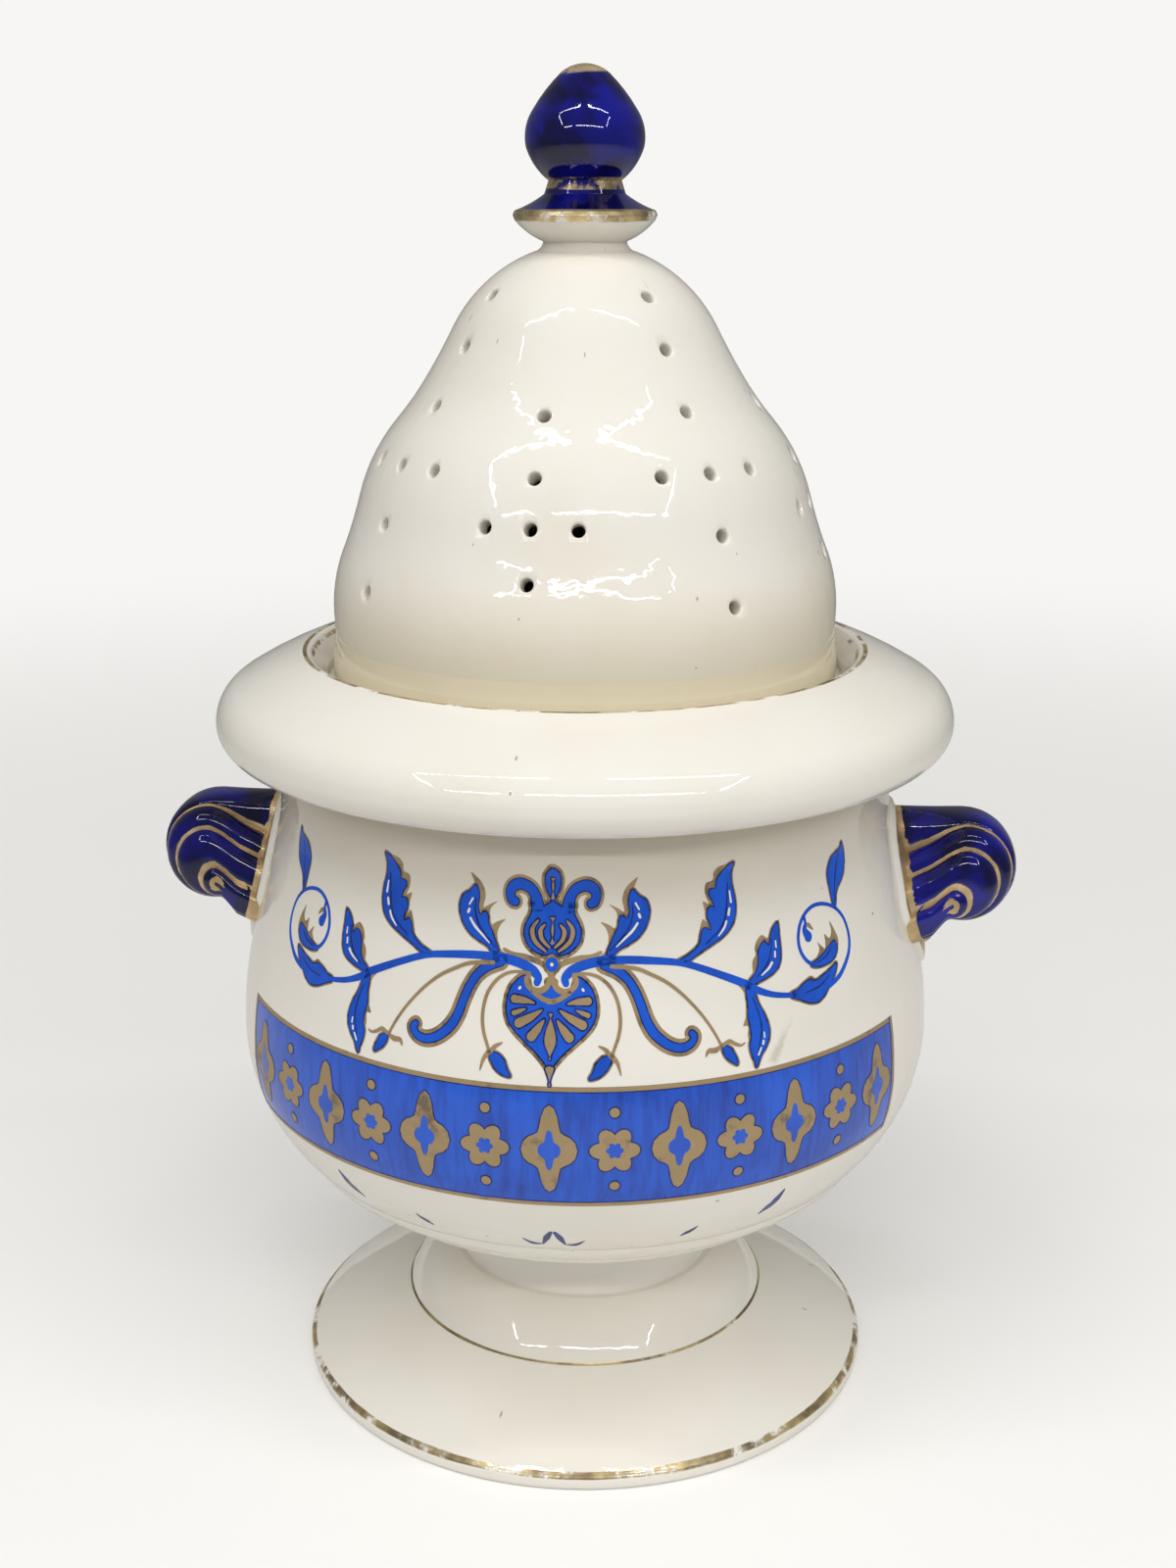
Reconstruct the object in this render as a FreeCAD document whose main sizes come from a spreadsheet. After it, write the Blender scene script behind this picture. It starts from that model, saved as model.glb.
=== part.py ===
import FreeCAD, Part
import math
import os
import re

import PartDesign
import Sketcher

# Ironstone leech jar: a footed bowl with a rolled rim and two scroll handles,
# closed by a tall pierced cover. Millimetres, +Z up, origin at the middle of the foot's base.

# Driving dimensions. Radii and heights are taken on the jar's own axis.
SIZES = {
    "total_height": 440,
    "foot_radius": 100.2,
    "foot_edge_height": 4.8,
    "foot_edge_round": 1.8,
    "foot_ring_width": 14,
    "foot_recess": 3.5,
    "foot_wall": 7,
    "foot_crown": 1.2,
    "foot_line_radius": 63.3,
    "foot_line_height": 23,
    "cushion_bulge": 1.4,
    "cushion_top_radius": 47,
    "cushion_top_height": 38.5,
    "stem_base_radius": 45,
    "stem_waist_radius": 42,
    "stem_waist_height": 48,
    "stem_top_radius": 52,
    "stem_top_height": 70,
    "stem_wall": 7,
    "moulding_flat_radius": 56,
    "moulding_under_radius": 87,
    "moulding_under_height": 75,
    "moulding_edge_radius": 91.5,
    "moulding_edge_height": 79,
    "moulding_swell": 0.8,
    "bowl_flat_radius": 60,
    "bowl_flat_height": 78,
    "ridge_radius": 101.2,
    "ridge_height": 88,
    "belly_low_radius": 111.3,
    "belly_low_height": 102,
    "belly_radius": 117.9,
    "belly_height": 128,
    "belly_high_radius": 116.9,
    "belly_high_height": 144,
    "shoulder_radius": 113.9,
    "shoulder_height": 160,
    "neck_start_radius": 104.5,
    "neck_start_height": 197,
    "neck_curve_radius": 102.9,
    "neck_curve_height": 205.5,
    "neck_radius": 102.3,
    "neck_height": 214,
    "bowl_wall": 7,
    "rim_under_height": 226.5,
    "rim_radius": 122.5,
    "rim_widest_height": 235.5,
    "rim_crown_round": 13.5,
    "rim_crown_angle": 60,
    "rim_crown_bulge": 0.6,
    "rim_line_radius": 92.7,
    "rim_line_height": 258,
    "lip_round": 1.6,
    "recess_radius": 85.5,
    "recess_lip_height": 250.5,
    "recess_foot_height": 232,
    "ledge_height": 248,
    "ledge_depth": 8,
    "ledge_round": 1.2,
    "mouth_radius": 74,
    "flange_radius": 82.4,
    "flange_wall": 6,
    "flange_round": 0.8,
    "dome_base_height": 263.4,
    "dome_base_radius": 82.4,
    "dome_radius": 83.2,
    "dome_foot_height": 265.4,
    "dome_wall": 6,
    "dome_top_radius": 16,
    "dome_top_height": 384,
    "air_hole_radius": 2.2,
    "drill_reach": 10,
    "collar_base_radius": 15.6,
    "collar_neck_radius": 13.2,
    "collar_neck_height": 387,
    "collar_radius": 22.8,
    "collar_low_height": 393.4,
    "collar_edge_height": 396.4,
    "collar_hub_radius": 12.8,
    "collar_hub_height": 401.4,
    "collar_edge_round": 0.6,
    "collar_cove": 0.6,
    "knob_neck_radius": 11.5,
    "knob_neck_height": 405.4,
    "leaf_thick": 3,
    "leaf_low_height": 146,
    "leaf_high_height": 206,
    "leaf_wide_height": 170,
    "leaf_half_width": 27,
    "leaf_high_half_width": 13,
    "leaf_low_half_width": 7,
    "handle_root_radius": 95,
}

# Points of two outlines, each a radius and a height. The cover's bell is a chain of arcs, with a
# point on each and one between each two. The knob's acorn is one curve with control points.
CURVES = {
    "bell": [(82.2, 278.9), (78.4, 292), (75.6, 299.9), (73.2, 308.1), (68.4, 320.5), (60.8, 331.8),
             (55.3, 338.7), (50.4, 346.1), (45.9, 353.8), (41.8, 361.5), (31.3, 374.8)],
    "acorn": [(12.5, 407.5), (17.5, 412), (19.6, 419.5), (14.4, 428), (10.8, 433.5), (6.5, 438.5), (3, 440)],
}

# Air holes stand in crosses, four of each kind round the cover. A row is the hole's height, the
# cover's radius there and the angle that the hole leans up by.
CROSSES = {
    "large_cross": [(371.6, 34.6, 43), (356.5, 44.4, 28), (338.9, 55.2, 36), (321.8, 67.7, 29),
                    (304, 74.3, 16), (283.5, 81.2, 17)],
    "small_cross": [(338.6, 55.4, 36), (321.7, 67.8, 29), (307.5, 73.4, 18), (292, 78.4, 20)],
}
# For each kind of cross: the turn about the axis, the row that its arms are on and their angle.
CROSS_PLACES = {"large_cross": (-51.2, 4, 14), "small_cross": (-7.5, 3, 11.2)}
CROSS_REPEATS = 4

# The whorls of a handle, from the widest in the middle to the eye at each end: radius and height of
# the centre, the whorl's own radius, half its width, and the heights where it leaves the bowl.
WHORLS = [
    (127.8, 184.7, 18.3, 9, 203.5, 147),
    (126.3, 184.2, 15, 16, 190, 158),
    (125.8, 182.7, 9.8, 22, 184, 163),
    (121.5, 178.5, 5.3, 25, 173, 165),
]
WHORL_KEYS = ("out", "up", "radius", "half_width", "high_root", "low_root")

ORIGIN, HORIZONTAL, VERTICAL = -1, -1, -2
START, END, CENTRE = 1, 2, 3
HALF = math.cos(math.radians(45))

document = FreeCAD.newDocument("leech_jar")
sheet = document.addObject("Spreadsheet::Sheet", "sizes")


def all_sizes():
    """The driving dimensions with those of the curves, crosses and whorls, by name."""
    sizes = dict(SIZES)
    for name, points in CURVES.items():
        for number, (radius, height) in enumerate(points, 1):
            sizes[f"{name}_{number}_out"] = radius
            sizes[f"{name}_{number}_up"] = height
    for name, rows in CROSSES.items():
        turn, _, arm = CROSS_PLACES[name]
        sizes[f"{name}_turn"] = turn
        sizes[f"{name}_arm"] = arm
        for number, row in enumerate(rows, 1):
            for key, size in zip(("up", "out", "lean"), row):
                sizes[f"{name}_{number}_{key}"] = size
    for number, whorl in enumerate(WHORLS, 1):
        for key, size in zip(WHORL_KEYS, whorl):
            sizes[f"whorl_{number}_{key}"] = size
    return sizes


NAMED = all_sizes()


def fill_sheet():
    """Writes one row for each driving dimension: its name, its value and the value's alias."""
    for row, (name, size) in enumerate(NAMED.items(), 1):
        sheet.set(f"A{row}", name)
        sheet.set(f"B{row}", str(size))
        sheet.setAlias(f"B{row}", name)
    document.recompute()


def bound(words):
    """An expression in the sheet's own names, with each name pointed at the sheet."""
    def pointed(found):
        return "sizes." + found[0] if found[0] in NAMED else found[0]
    return re.sub(r"[a-z][a-z_0-9]*", pointed, words)


def value(words):
    """The number that an expression comes to."""
    return float(sheet.evalExpression(bound(words)))


def bind(thing, field, words):
    """Gives a field of an object its size from the sheet."""
    thing.setExpression(field, bound(words))


def new_body(label):
    """An empty body whose label is the name of its file."""
    body = document.addObject("PartDesign::Body", label)
    body.Label = label
    return body


def origin_feature(body, role):
    """An axis or plane of the body's own origin."""
    return next(feature for feature in body.Origin.OriginFeatures if feature.Role == role)


def pin(sketch, geometry, end, point):
    """Holds one point of the sketch at two sizes, across and up."""
    for kind, axis, words in (("DistanceX", VERTICAL, point[0]), ("DistanceY", HORIZONTAL, point[1])):
        size = value(words)
        if abs(size) < 1e-9:
            sketch.addConstraint(Sketcher.Constraint("PointOnObject", geometry, end, axis))
            continue
        index = sketch.addConstraint(Sketcher.Constraint(kind, ORIGIN, START, geometry, end, size))
        bind(sketch, f"Constraints[{index}]", words)


def spot(point):
    """The place of a point on the sketch's plane."""
    return FreeCAD.Vector(value(point[0]), value(point[1]), 0)


def draw_line(sketch, start, end):
    """A straight stretch. Gives its two ends."""
    line = sketch.addGeometry(Part.LineSegment(spot(start), spot(end)))
    return (line, START), (line, END)


def draw_arc(sketch, start, through, end):
    """A round stretch through a point between its ends. Gives its two ends in the order of drawing."""
    first, middle, last = spot(start), spot(through), spot(end)
    turns_left = (middle - first).cross(last - middle).z > 0
    circle = Part.Circle(first, middle, last)
    low, high = (first, last) if turns_left else (last, first)
    centre = circle.Center
    angles = [math.atan2(place.y - centre.y, place.x - centre.x) for place in (low, high)]
    if angles[1] < angles[0]:
        angles[1] += 2 * math.pi
    round_shape = Part.Circle(centre, FreeCAD.Vector(0, 0, 1), circle.Radius)
    arc = sketch.addGeometry(Part.ArcOfCircle(round_shape, *angles))
    helper = sketch.addGeometry(Part.Point(middle), True)
    sketch.addConstraint(Sketcher.Constraint("PointOnObject", helper, START, arc))
    pin(sketch, helper, START, through)
    return ((arc, START), (arc, END)) if turns_left else ((arc, END), (arc, START))


def draw_curve(sketch, start, *poles):
    """A free curve steered by control points, the last of which is its end."""
    points = (start,) + poles
    circles = []
    for number, point in enumerate(points):
        circle = sketch.addGeometry(Part.Circle(spot(point), FreeCAD.Vector(0, 0, 1), 1), True)
        circles.append(circle)
        if 0 < number < len(points) - 1:
            pin(sketch, circle, CENTRE, point)
    sketch.addConstraint(Sketcher.Constraint("Weight", circles[0], 1.0))
    for circle in circles[1:]:
        sketch.addConstraint(Sketcher.Constraint("Equal", circles[0], circle))
    spline = Part.BSplineCurve([spot(point) for point in points], None, None, False, 3, None, False)
    curve = sketch.addGeometry(spline)
    for number, circle in enumerate(circles):
        pole = "InternalAlignment:Sketcher::BSplineControlPoint"
        sketch.addConstraint(Sketcher.Constraint(pole, circle, CENTRE, curve, number))
    return (curve, START), (curve, END)


DRAW = {"line": draw_line, "arc": draw_arc, "curve": draw_curve}


def new_sketch(body, role, outline):
    """A closed outline on one of the body's planes. It starts at the outline's first point, and each
    step after that names a kind of stretch and its points. A straight stretch closes it if need be."""
    sketch = body.newObject("Sketcher::SketchObject", body.Label + "_outline")
    sketch.AttachmentSupport = (origin_feature(body, role), "")
    sketch.MapMode = "FlatFace"
    first, *steps = outline
    if steps[-1][-1] != first:
        steps.append(("line", first))
    last = first
    pieces = []
    for kind, *points in steps:
        pieces.append(DRAW[kind](sketch, last, *points))
        last = points[-1]
        if last != first:
            pin(sketch, *pieces[-1][1], last)
    for (_, tail), (head, _) in zip(pieces, pieces[1:] + pieces[:1]):
        sketch.addConstraint(Sketcher.Constraint("Coincident", *tail, *head))
    pin(sketch, *pieces[0][0], first)
    return sketch


def turned(body, outline, kind="PartDesign::Revolution"):
    """Turns an outline about the axis, as a solid or as a cut."""
    sketch = new_sketch(body, "XZ_Plane", outline)
    feature = body.newObject(kind, body.Label + "_turned")
    feature.Profile = sketch
    feature.ReferenceAxis = (sketch, ["V_Axis"])
    feature.Angle = 360
    return feature


def padded(body, role, outline, length, reversed_pad=False, both_ways=False):
    """Pushes an outline out from one of the body's planes."""
    feature = body.newObject("PartDesign::Pad", body.Label + "_pad")
    feature.Profile = new_sketch(body, role, outline)
    feature.SideType = "Symmetric" if both_ways else "One side"
    feature.Reversed = reversed_pad
    bind(feature, "Length", length)
    return feature


def hollowed(body, solid, open_height, wall):
    """Leaves a wall of even thickness, open at the flat face at one height."""
    document.recompute()
    level = value(open_height)
    opened = [
        f"Face{number}"
        for number, face in enumerate(solid.Shape.Faces, 1)
        if face.BoundBox.ZLength < 1e-6 and abs(face.BoundBox.ZMin - level) < 1e-6
    ]
    shell = body.newObject("PartDesign::Thickness", body.Label + "_wall")
    shell.Base = (solid, opened)
    shell.Reversed = True
    shell.Join = "Intersection"
    bind(shell, "Value", wall)
    return shell


def make_foot_plate():
    """The spreading foot: a standing ring, a sloping plate and a cushion under the stem."""
    corner = f"foot_edge_round * {1 - HALF:.4f}"
    body = new_body("foot_plate")
    turned(body, [
        ("foot_radius - foot_ring_width", "0"),
        ("line", ("foot_radius - foot_edge_round", "0")),
        ("arc", (f"foot_radius - {corner}", corner), ("foot_radius", "foot_edge_round")),
        ("line", ("foot_radius", "foot_edge_height - foot_edge_round")),
        ("arc", (f"foot_radius - {corner}", f"foot_edge_height - {corner}"),
         ("foot_radius - foot_edge_round", "foot_edge_height")),
        ("arc", ("(foot_radius + foot_line_radius) / 2",
                 "(foot_edge_height + foot_line_height) / 2 + foot_crown"),
         ("foot_line_radius", "foot_line_height")),
        ("arc", ("(foot_line_radius + cushion_top_radius) / 2 + cushion_bulge",
                 "(foot_line_height + cushion_top_height) / 2 + cushion_bulge"),
         ("cushion_top_radius", "cushion_top_height")),
        ("line", ("stem_base_radius - stem_wall", "cushion_top_height")),
        ("line", ("stem_base_radius - stem_wall", "cushion_top_height - foot_wall")),
        ("line", ("foot_line_radius - foot_wall", "foot_line_height - foot_wall")),
        ("line", ("foot_radius - foot_ring_width", "foot_recess")),
    ])
    return body


def make_foot_stem():
    """The hollow waisted stem."""
    body = new_body("foot_stem")
    turned(body, [
        ("stem_base_radius - stem_wall", "cushion_top_height"),
        ("line", ("stem_base_radius", "cushion_top_height")),
        ("arc", ("stem_waist_radius", "stem_waist_height"), ("stem_top_radius", "stem_top_height")),
        ("line", ("stem_top_radius - stem_wall", "stem_top_height")),
        ("arc", ("stem_waist_radius - stem_wall", "stem_waist_height"),
         ("stem_base_radius - stem_wall", "cushion_top_height")),
    ])
    return body


def make_base_moulding():
    """The ring that carries the bowl, with a rounded edge below the ridge."""
    body = new_body("base_moulding")
    turned(body, [
        ("stem_top_radius - stem_wall", "stem_top_height"),
        ("line", ("moulding_flat_radius", "stem_top_height")),
        ("line", ("moulding_under_radius", "moulding_under_height")),
        ("arc", ("moulding_edge_radius - moulding_swell",
                 "(moulding_under_height + moulding_edge_height) / 2"),
         ("moulding_edge_radius", "moulding_edge_height")),
        ("arc", ("(moulding_edge_radius + ridge_radius) / 2 + moulding_swell",
                 "(moulding_edge_height + ridge_height) / 2 - moulding_swell"),
         ("ridge_radius", "ridge_height")),
        ("line", ("bowl_flat_radius", "bowl_flat_height")),
        ("line", ("stem_top_radius - stem_wall", "bowl_flat_height")),
    ])
    return body


def bowl_side(out="0"):
    """The bowl's side from its widest place up to the neck, moved out by a distance."""
    def moved(radius, height):
        return f"{radius} + {out}", height
    return [
        ("arc", moved("belly_high_radius", "belly_high_height"), moved("shoulder_radius", "shoulder_height")),
        ("line", moved("neck_start_radius", "neck_start_height")),
        ("arc", moved("neck_curve_radius", "neck_curve_height"), moved("neck_radius", "neck_height")),
        ("line", moved("neck_radius", "rim_under_height")),
    ]


def make_bowl():
    """The round bowl, one wall from its flat bottom to the neck."""
    body = new_body("bowl")
    solid = turned(body, [
        ("0", "bowl_flat_height"),
        ("line", ("bowl_flat_radius", "bowl_flat_height")),
        ("line", ("ridge_radius", "ridge_height")),
        ("arc", ("belly_low_radius", "belly_low_height"), ("belly_radius", "belly_height")),
        *bowl_side(),
        ("line", ("0", "rim_under_height")),
    ])
    hollowed(body, solid, "rim_under_height", "bowl_wall")
    return body


def make_rim_roll():
    """The thick rolled lip: flat below, round outside, sloping up to the gilt line, with a recess inside."""
    under_round = "(rim_widest_height - rim_under_height)"
    crown = "rim_crown_round"
    crown_out = f"rim_radius - {crown} + {crown} * cos(rim_crown_angle)"
    crown_up = f"rim_widest_height + {crown} * sin(rim_crown_angle)"
    body = new_body("rim_roll")
    turned(body, [
        ("neck_radius - bowl_wall", "rim_under_height"),
        ("line", (f"rim_radius - {under_round}", "rim_under_height")),
        ("arc", (f"rim_radius - {under_round} * {1 - HALF:.4f}",
                 f"rim_widest_height - {under_round} * {HALF:.4f}"),
         ("rim_radius", "rim_widest_height")),
        ("arc", (f"rim_radius - {crown} + {crown} * cos(rim_crown_angle / 2)",
                 f"rim_widest_height + {crown} * sin(rim_crown_angle / 2)"),
         (crown_out, crown_up)),
        ("arc", (f"({crown_out} + rim_line_radius) / 2 + rim_crown_bulge / 2",
                 f"({crown_up} + rim_line_height) / 2 + rim_crown_bulge"),
         ("rim_line_radius", "rim_line_height")),
        ("arc", (f"rim_line_radius - lip_round * {HALF:.4f}",
                 f"rim_line_height - lip_round * {1 - HALF:.4f}"),
         ("rim_line_radius - lip_round", "rim_line_height - lip_round")),
        ("line", ("recess_radius", "recess_lip_height")),
        ("line", ("recess_radius", "recess_foot_height")),
    ])
    return body


def make_gallery_ring():
    """The ledge ring inside the mouth, which the cover's flange stands on."""
    body = new_body("gallery_ring")
    turned(body, [
        ("mouth_radius", "ledge_height - ledge_depth"),
        ("line", ("recess_radius", "ledge_height - ledge_depth")),
        ("line", ("recess_radius", "ledge_height")),
        ("line", ("mouth_radius + ledge_round", "ledge_height")),
        ("arc", (f"mouth_radius + ledge_round * {1 - HALF:.4f}",
                 f"ledge_height - ledge_round * {1 - HALF:.4f}"),
         ("mouth_radius", "ledge_height - ledge_round")),
    ])
    return body


def make_cover_flange():
    """The seating ring under the cover's dome."""
    body = new_body("cover_flange")
    turned(body, [
        ("flange_radius - flange_wall", "ledge_height"),
        ("line", ("flange_radius - flange_round", "ledge_height")),
        ("line", ("flange_radius", "ledge_height + flange_round")),
        ("line", ("flange_radius", "dome_base_height")),
        ("line", ("flange_radius - flange_wall", "dome_base_height")),
    ])
    return body


def points_of(name, wall="0"):
    """The points of an outline, moved in by a wall, and down by more and more of it towards the top."""
    count = len(CURVES[name])
    return [
        (f"{name}_{number}_out - {wall}", f"{name}_{number}_up - {wall} * {number} / {count + 1}")
        for number in range(1, count + 1)
    ]


def arcs(points):
    """A chain of arcs. Of each two points, the first is on an arc and the second is its end."""
    return [("arc", through, end) for through, end in zip(points[::2], points[1::2])]


def drill(body, cross, number, turn):
    """Takes one air hole out of the cover, square to its surface, and repeats it round the cover."""
    row = f"{cross}_{number}"
    hole = body.newObject("PartDesign::SubtractiveCylinder", f"{row}_hole")
    bind(hole, "Radius", "air_hole_radius")
    bind(hole, "Height", "2 * drill_reach")
    inner = f"({row}_out - drill_reach * cos({row}_lean))"
    lean, around = math.radians(value(f"{row}_lean")), math.radians(value(turn))
    away = FreeCAD.Vector(math.cos(lean) * math.cos(around), math.cos(lean) * math.sin(around), math.sin(lean))
    hole.Placement = FreeCAD.Placement(FreeCAD.Vector(), FreeCAD.Rotation(FreeCAD.Vector(0, 0, 1), away))
    bind(hole, "Placement.Base.x", f"{inner} * cos({turn})")
    bind(hole, "Placement.Base.y", f"{inner} * sin({turn})")
    bind(hole, "Placement.Base.z", f"{row}_up - drill_reach * sin({row}_lean)")
    pattern = body.newObject("PartDesign::PolarPattern", f"{row}_round_the_cover")
    pattern.Originals = [hole]
    pattern.Axis = (origin_feature(body, "Z_Axis"), [""])
    pattern.Angle = 360
    pattern.Occurrences = CROSS_REPEATS
    body.Tip = pattern


def make_cover_dome():
    """The bell-shaped cover, hollow and open below, with its crosses of air holes."""
    body = new_body("cover_dome")
    turned(body, [
        ("0", "dome_base_height"),
        ("line", ("dome_base_radius", "dome_base_height")),
        ("line", ("dome_radius", "dome_foot_height")),
        *arcs(points_of("bell") + [("dome_top_radius", "dome_top_height")]),
        ("line", ("0", "dome_top_height")),
    ])
    crown = ("dome_top_radius - dome_wall / 2", "dome_top_height - dome_wall")
    turned(body, [
        ("0", "dome_base_height"),
        ("line", ("dome_radius - dome_wall", "dome_base_height")),
        ("line", ("dome_radius - dome_wall", "dome_foot_height")),
        *arcs(points_of("bell", "dome_wall") + [crown]),
        ("line", ("0", "dome_top_height - dome_wall")),
    ], "PartDesign::Groove")
    for cross, rows in CROSSES.items():
        _, arm_row, _ = CROSS_PLACES[cross]
        turn, arm = f"{cross}_turn", f"{cross}_arm"
        for number in range(1, len(rows) + 1):
            drill(body, cross, number, turn)
        for side in "+-":
            drill(body, cross, arm_row, f"({turn} {side} {arm})")
    return body


def make_finial_collar():
    """The flaring collar under the knob."""
    body = new_body("finial_collar")
    turned(body, [
        ("0", "dome_top_height"),
        ("line", ("collar_base_radius", "dome_top_height")),
        ("arc", ("(collar_base_radius + collar_neck_radius) / 2 - collar_cove",
                 "(dome_top_height + collar_neck_height) / 2"),
         ("collar_neck_radius", "collar_neck_height")),
        ("arc", ("(collar_neck_radius + collar_radius) / 2",
                 "(collar_neck_height + collar_low_height) / 2 - collar_cove"),
         ("collar_radius - collar_edge_round", "collar_low_height")),
        ("arc", ("collar_radius", "(collar_low_height + collar_edge_height) / 2"),
         ("collar_radius - collar_edge_round", "collar_edge_height")),
        ("arc", ("(collar_radius + collar_hub_radius) / 2",
                 "(collar_edge_height + collar_hub_height) / 2 - collar_cove"),
         ("collar_hub_radius", "collar_hub_height")),
        ("line", ("knob_neck_radius", "knob_neck_height")),
        ("line", ("0", "knob_neck_height")),
    ])
    return body


def make_finial_knob():
    """The acorn knob that the cover is lifted by."""
    body = new_body("finial_knob")
    turned(body, [
        ("0", "knob_neck_height"),
        ("line", ("knob_neck_radius", "knob_neck_height")),
        ("curve", *points_of("acorn"), ("0", "total_height")),
    ])
    return body


def side_cut(body, inside, out="0"):
    """Cuts a handle's piece with the bowl's side, moved out: what lies inside it, or what lies outside."""
    edge = "0" if inside else "2 * belly_radius"
    turned(body, [
        (edge, "belly_height"),
        ("line", (f"belly_radius + {out}", "belly_height")),
        *bowl_side(out),
        ("line", (edge, "rim_under_height")),
    ], "PartDesign::Groove")


def make_handle_leaf(label):
    """The clay leaf that lies on the bowl and carries a handle."""
    body = new_body(label)
    padded(body, "YZ_Plane", [
        ("0 - leaf_low_half_width", "leaf_low_height"),
        ("line", ("leaf_low_half_width", "leaf_low_height")),
        ("line", ("leaf_half_width", "leaf_wide_height")),
        ("line", ("leaf_high_half_width", "leaf_high_height")),
        ("line", ("0 - leaf_high_half_width", "leaf_high_height")),
        ("line", ("0 - leaf_half_width", "leaf_wide_height")),
    ], "belly_radius + leaf_thick")
    side_cut(body, True)
    side_cut(body, False, "leaf_thick")
    return body


def whorl_outline(number):
    """One whorl seen from its end: out from the bowl, over, round the curl and back to the bowl."""
    name = f"whorl_{number}"
    out, up, radius = f"{name}_out", f"{name}_up", f"{name}_radius"
    return [
        ("handle_root_radius", f"{name}_low_root"),
        ("line", ("neck_radius + bowl_wall + leaf_thick", f"{name}_low_root")),
        ("line", (out, f"{up} - {radius}")),
        ("arc", (f"{out} + {radius}", up), (out, f"{up} + {radius}")),
        ("line", ("neck_radius + leaf_thick", f"{name}_high_root")),
        ("line", ("handle_root_radius", f"{name}_high_root")),
    ]


def make_handle_scroll(label):
    """The scroll lug: whorls inside each other, each longer and smaller than the last."""
    body = new_body(label)
    for number in range(1, len(WHORLS) + 1):
        padded(body, "XZ_Plane", whorl_outline(number), f"2 * whorl_{number}_half_width", both_ways=True)
    side_cut(body, True, "leaf_thick")
    return body


def make_handles():
    """Both handles with their leaves: the left pair is the right pair turned half round."""
    bodies = []
    for side, turn in (("right", 0), ("left", 180)):
        for make, label in ((make_handle_leaf, "handle_leaf"), (make_handle_scroll, "handle_scroll")):
            body = make(f"{label}_{side}")
            body.Placement = FreeCAD.Placement(
                FreeCAD.Vector(), FreeCAD.Rotation(FreeCAD.Vector(0, 0, 1), turn))
            bodies.append(body)
    return bodies


def check(bodies):
    """Stops if any object failed, or any piece isn't one sound solid."""
    for thing in document.Objects:
        if {"Invalid", "Error"} & set(thing.State):
            raise RuntimeError(f"{thing.Label} is {thing.State}")
    for body in bodies:
        shape = body.Shape
        if shape.isNull() or not shape.isValid() or len(shape.Solids) != 1:
            raise RuntimeError(f"{body.Label} isn't one sound solid")


def write(bodies):
    """Writes each piece to its own file."""
    os.makedirs("parts", exist_ok=True)
    for body in bodies:
        body.Shape.exportStep(os.path.join("parts", body.Label + ".step"))
        box = body.Shape.BoundBox
        print(f"{body.Label}: {body.Shape.Volume / 1000:.1f} cm3, z {box.ZMin:.1f} to {box.ZMax:.1f}")


def main():
    fill_sheet()
    bodies = [make() for make in (
        make_foot_plate,
        make_foot_stem,
        make_base_moulding,
        make_bowl,
        make_rim_roll,
        make_gallery_ring,
        make_cover_flange,
        make_cover_dome,
        make_finial_collar,
        make_finial_knob,
    )]
    bodies += make_handles()
    document.recompute()
    check(bodies)
    write(bodies)


main()
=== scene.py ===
import math

import bmesh
import bpy
from bpy.props import FloatProperty, FloatVectorProperty, IntProperty, PointerProperty
from mathutils import Matrix, Vector, geometry
from mathutils.bvhtree import BVHTree


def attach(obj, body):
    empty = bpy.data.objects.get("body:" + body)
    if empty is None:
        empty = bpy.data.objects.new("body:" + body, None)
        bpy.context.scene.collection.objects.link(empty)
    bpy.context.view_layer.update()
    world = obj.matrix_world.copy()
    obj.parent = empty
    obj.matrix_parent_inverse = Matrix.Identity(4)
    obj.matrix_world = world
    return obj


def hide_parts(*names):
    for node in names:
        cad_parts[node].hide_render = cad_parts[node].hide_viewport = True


bl_info = {
    "name": "Leech Jar",
    "version": (1, 0, 0),
    "blender": (4, 5, 0),
    "location": "View3D > Sidebar > Jar",
    "description": "Dresses a glazed, gilded and printed leech jar with its pierced cover",
    "category": "Add Mesh",
}

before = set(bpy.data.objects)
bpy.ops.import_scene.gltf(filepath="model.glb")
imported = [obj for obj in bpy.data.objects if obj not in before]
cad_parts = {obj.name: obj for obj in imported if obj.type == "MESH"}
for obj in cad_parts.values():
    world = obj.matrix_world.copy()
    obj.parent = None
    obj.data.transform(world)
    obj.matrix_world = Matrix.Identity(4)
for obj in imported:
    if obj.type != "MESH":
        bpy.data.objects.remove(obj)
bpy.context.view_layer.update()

MM = 0.001

# The photograph's camera: focal length and middle in pixels, and its place round the jar.
PHOTO_WIDE, PHOTO_HIGH = 1200, 1600
FOCAL_PIXELS = 2050
AXIS_PIXEL = 597
CAMERA_TURN = math.radians(5.2)
CAMERA_PITCH = math.radians(16.67)
CAMERA_AWAY, CAMERA_UP = 0.656, 0.4048
SENSOR = 36

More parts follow.
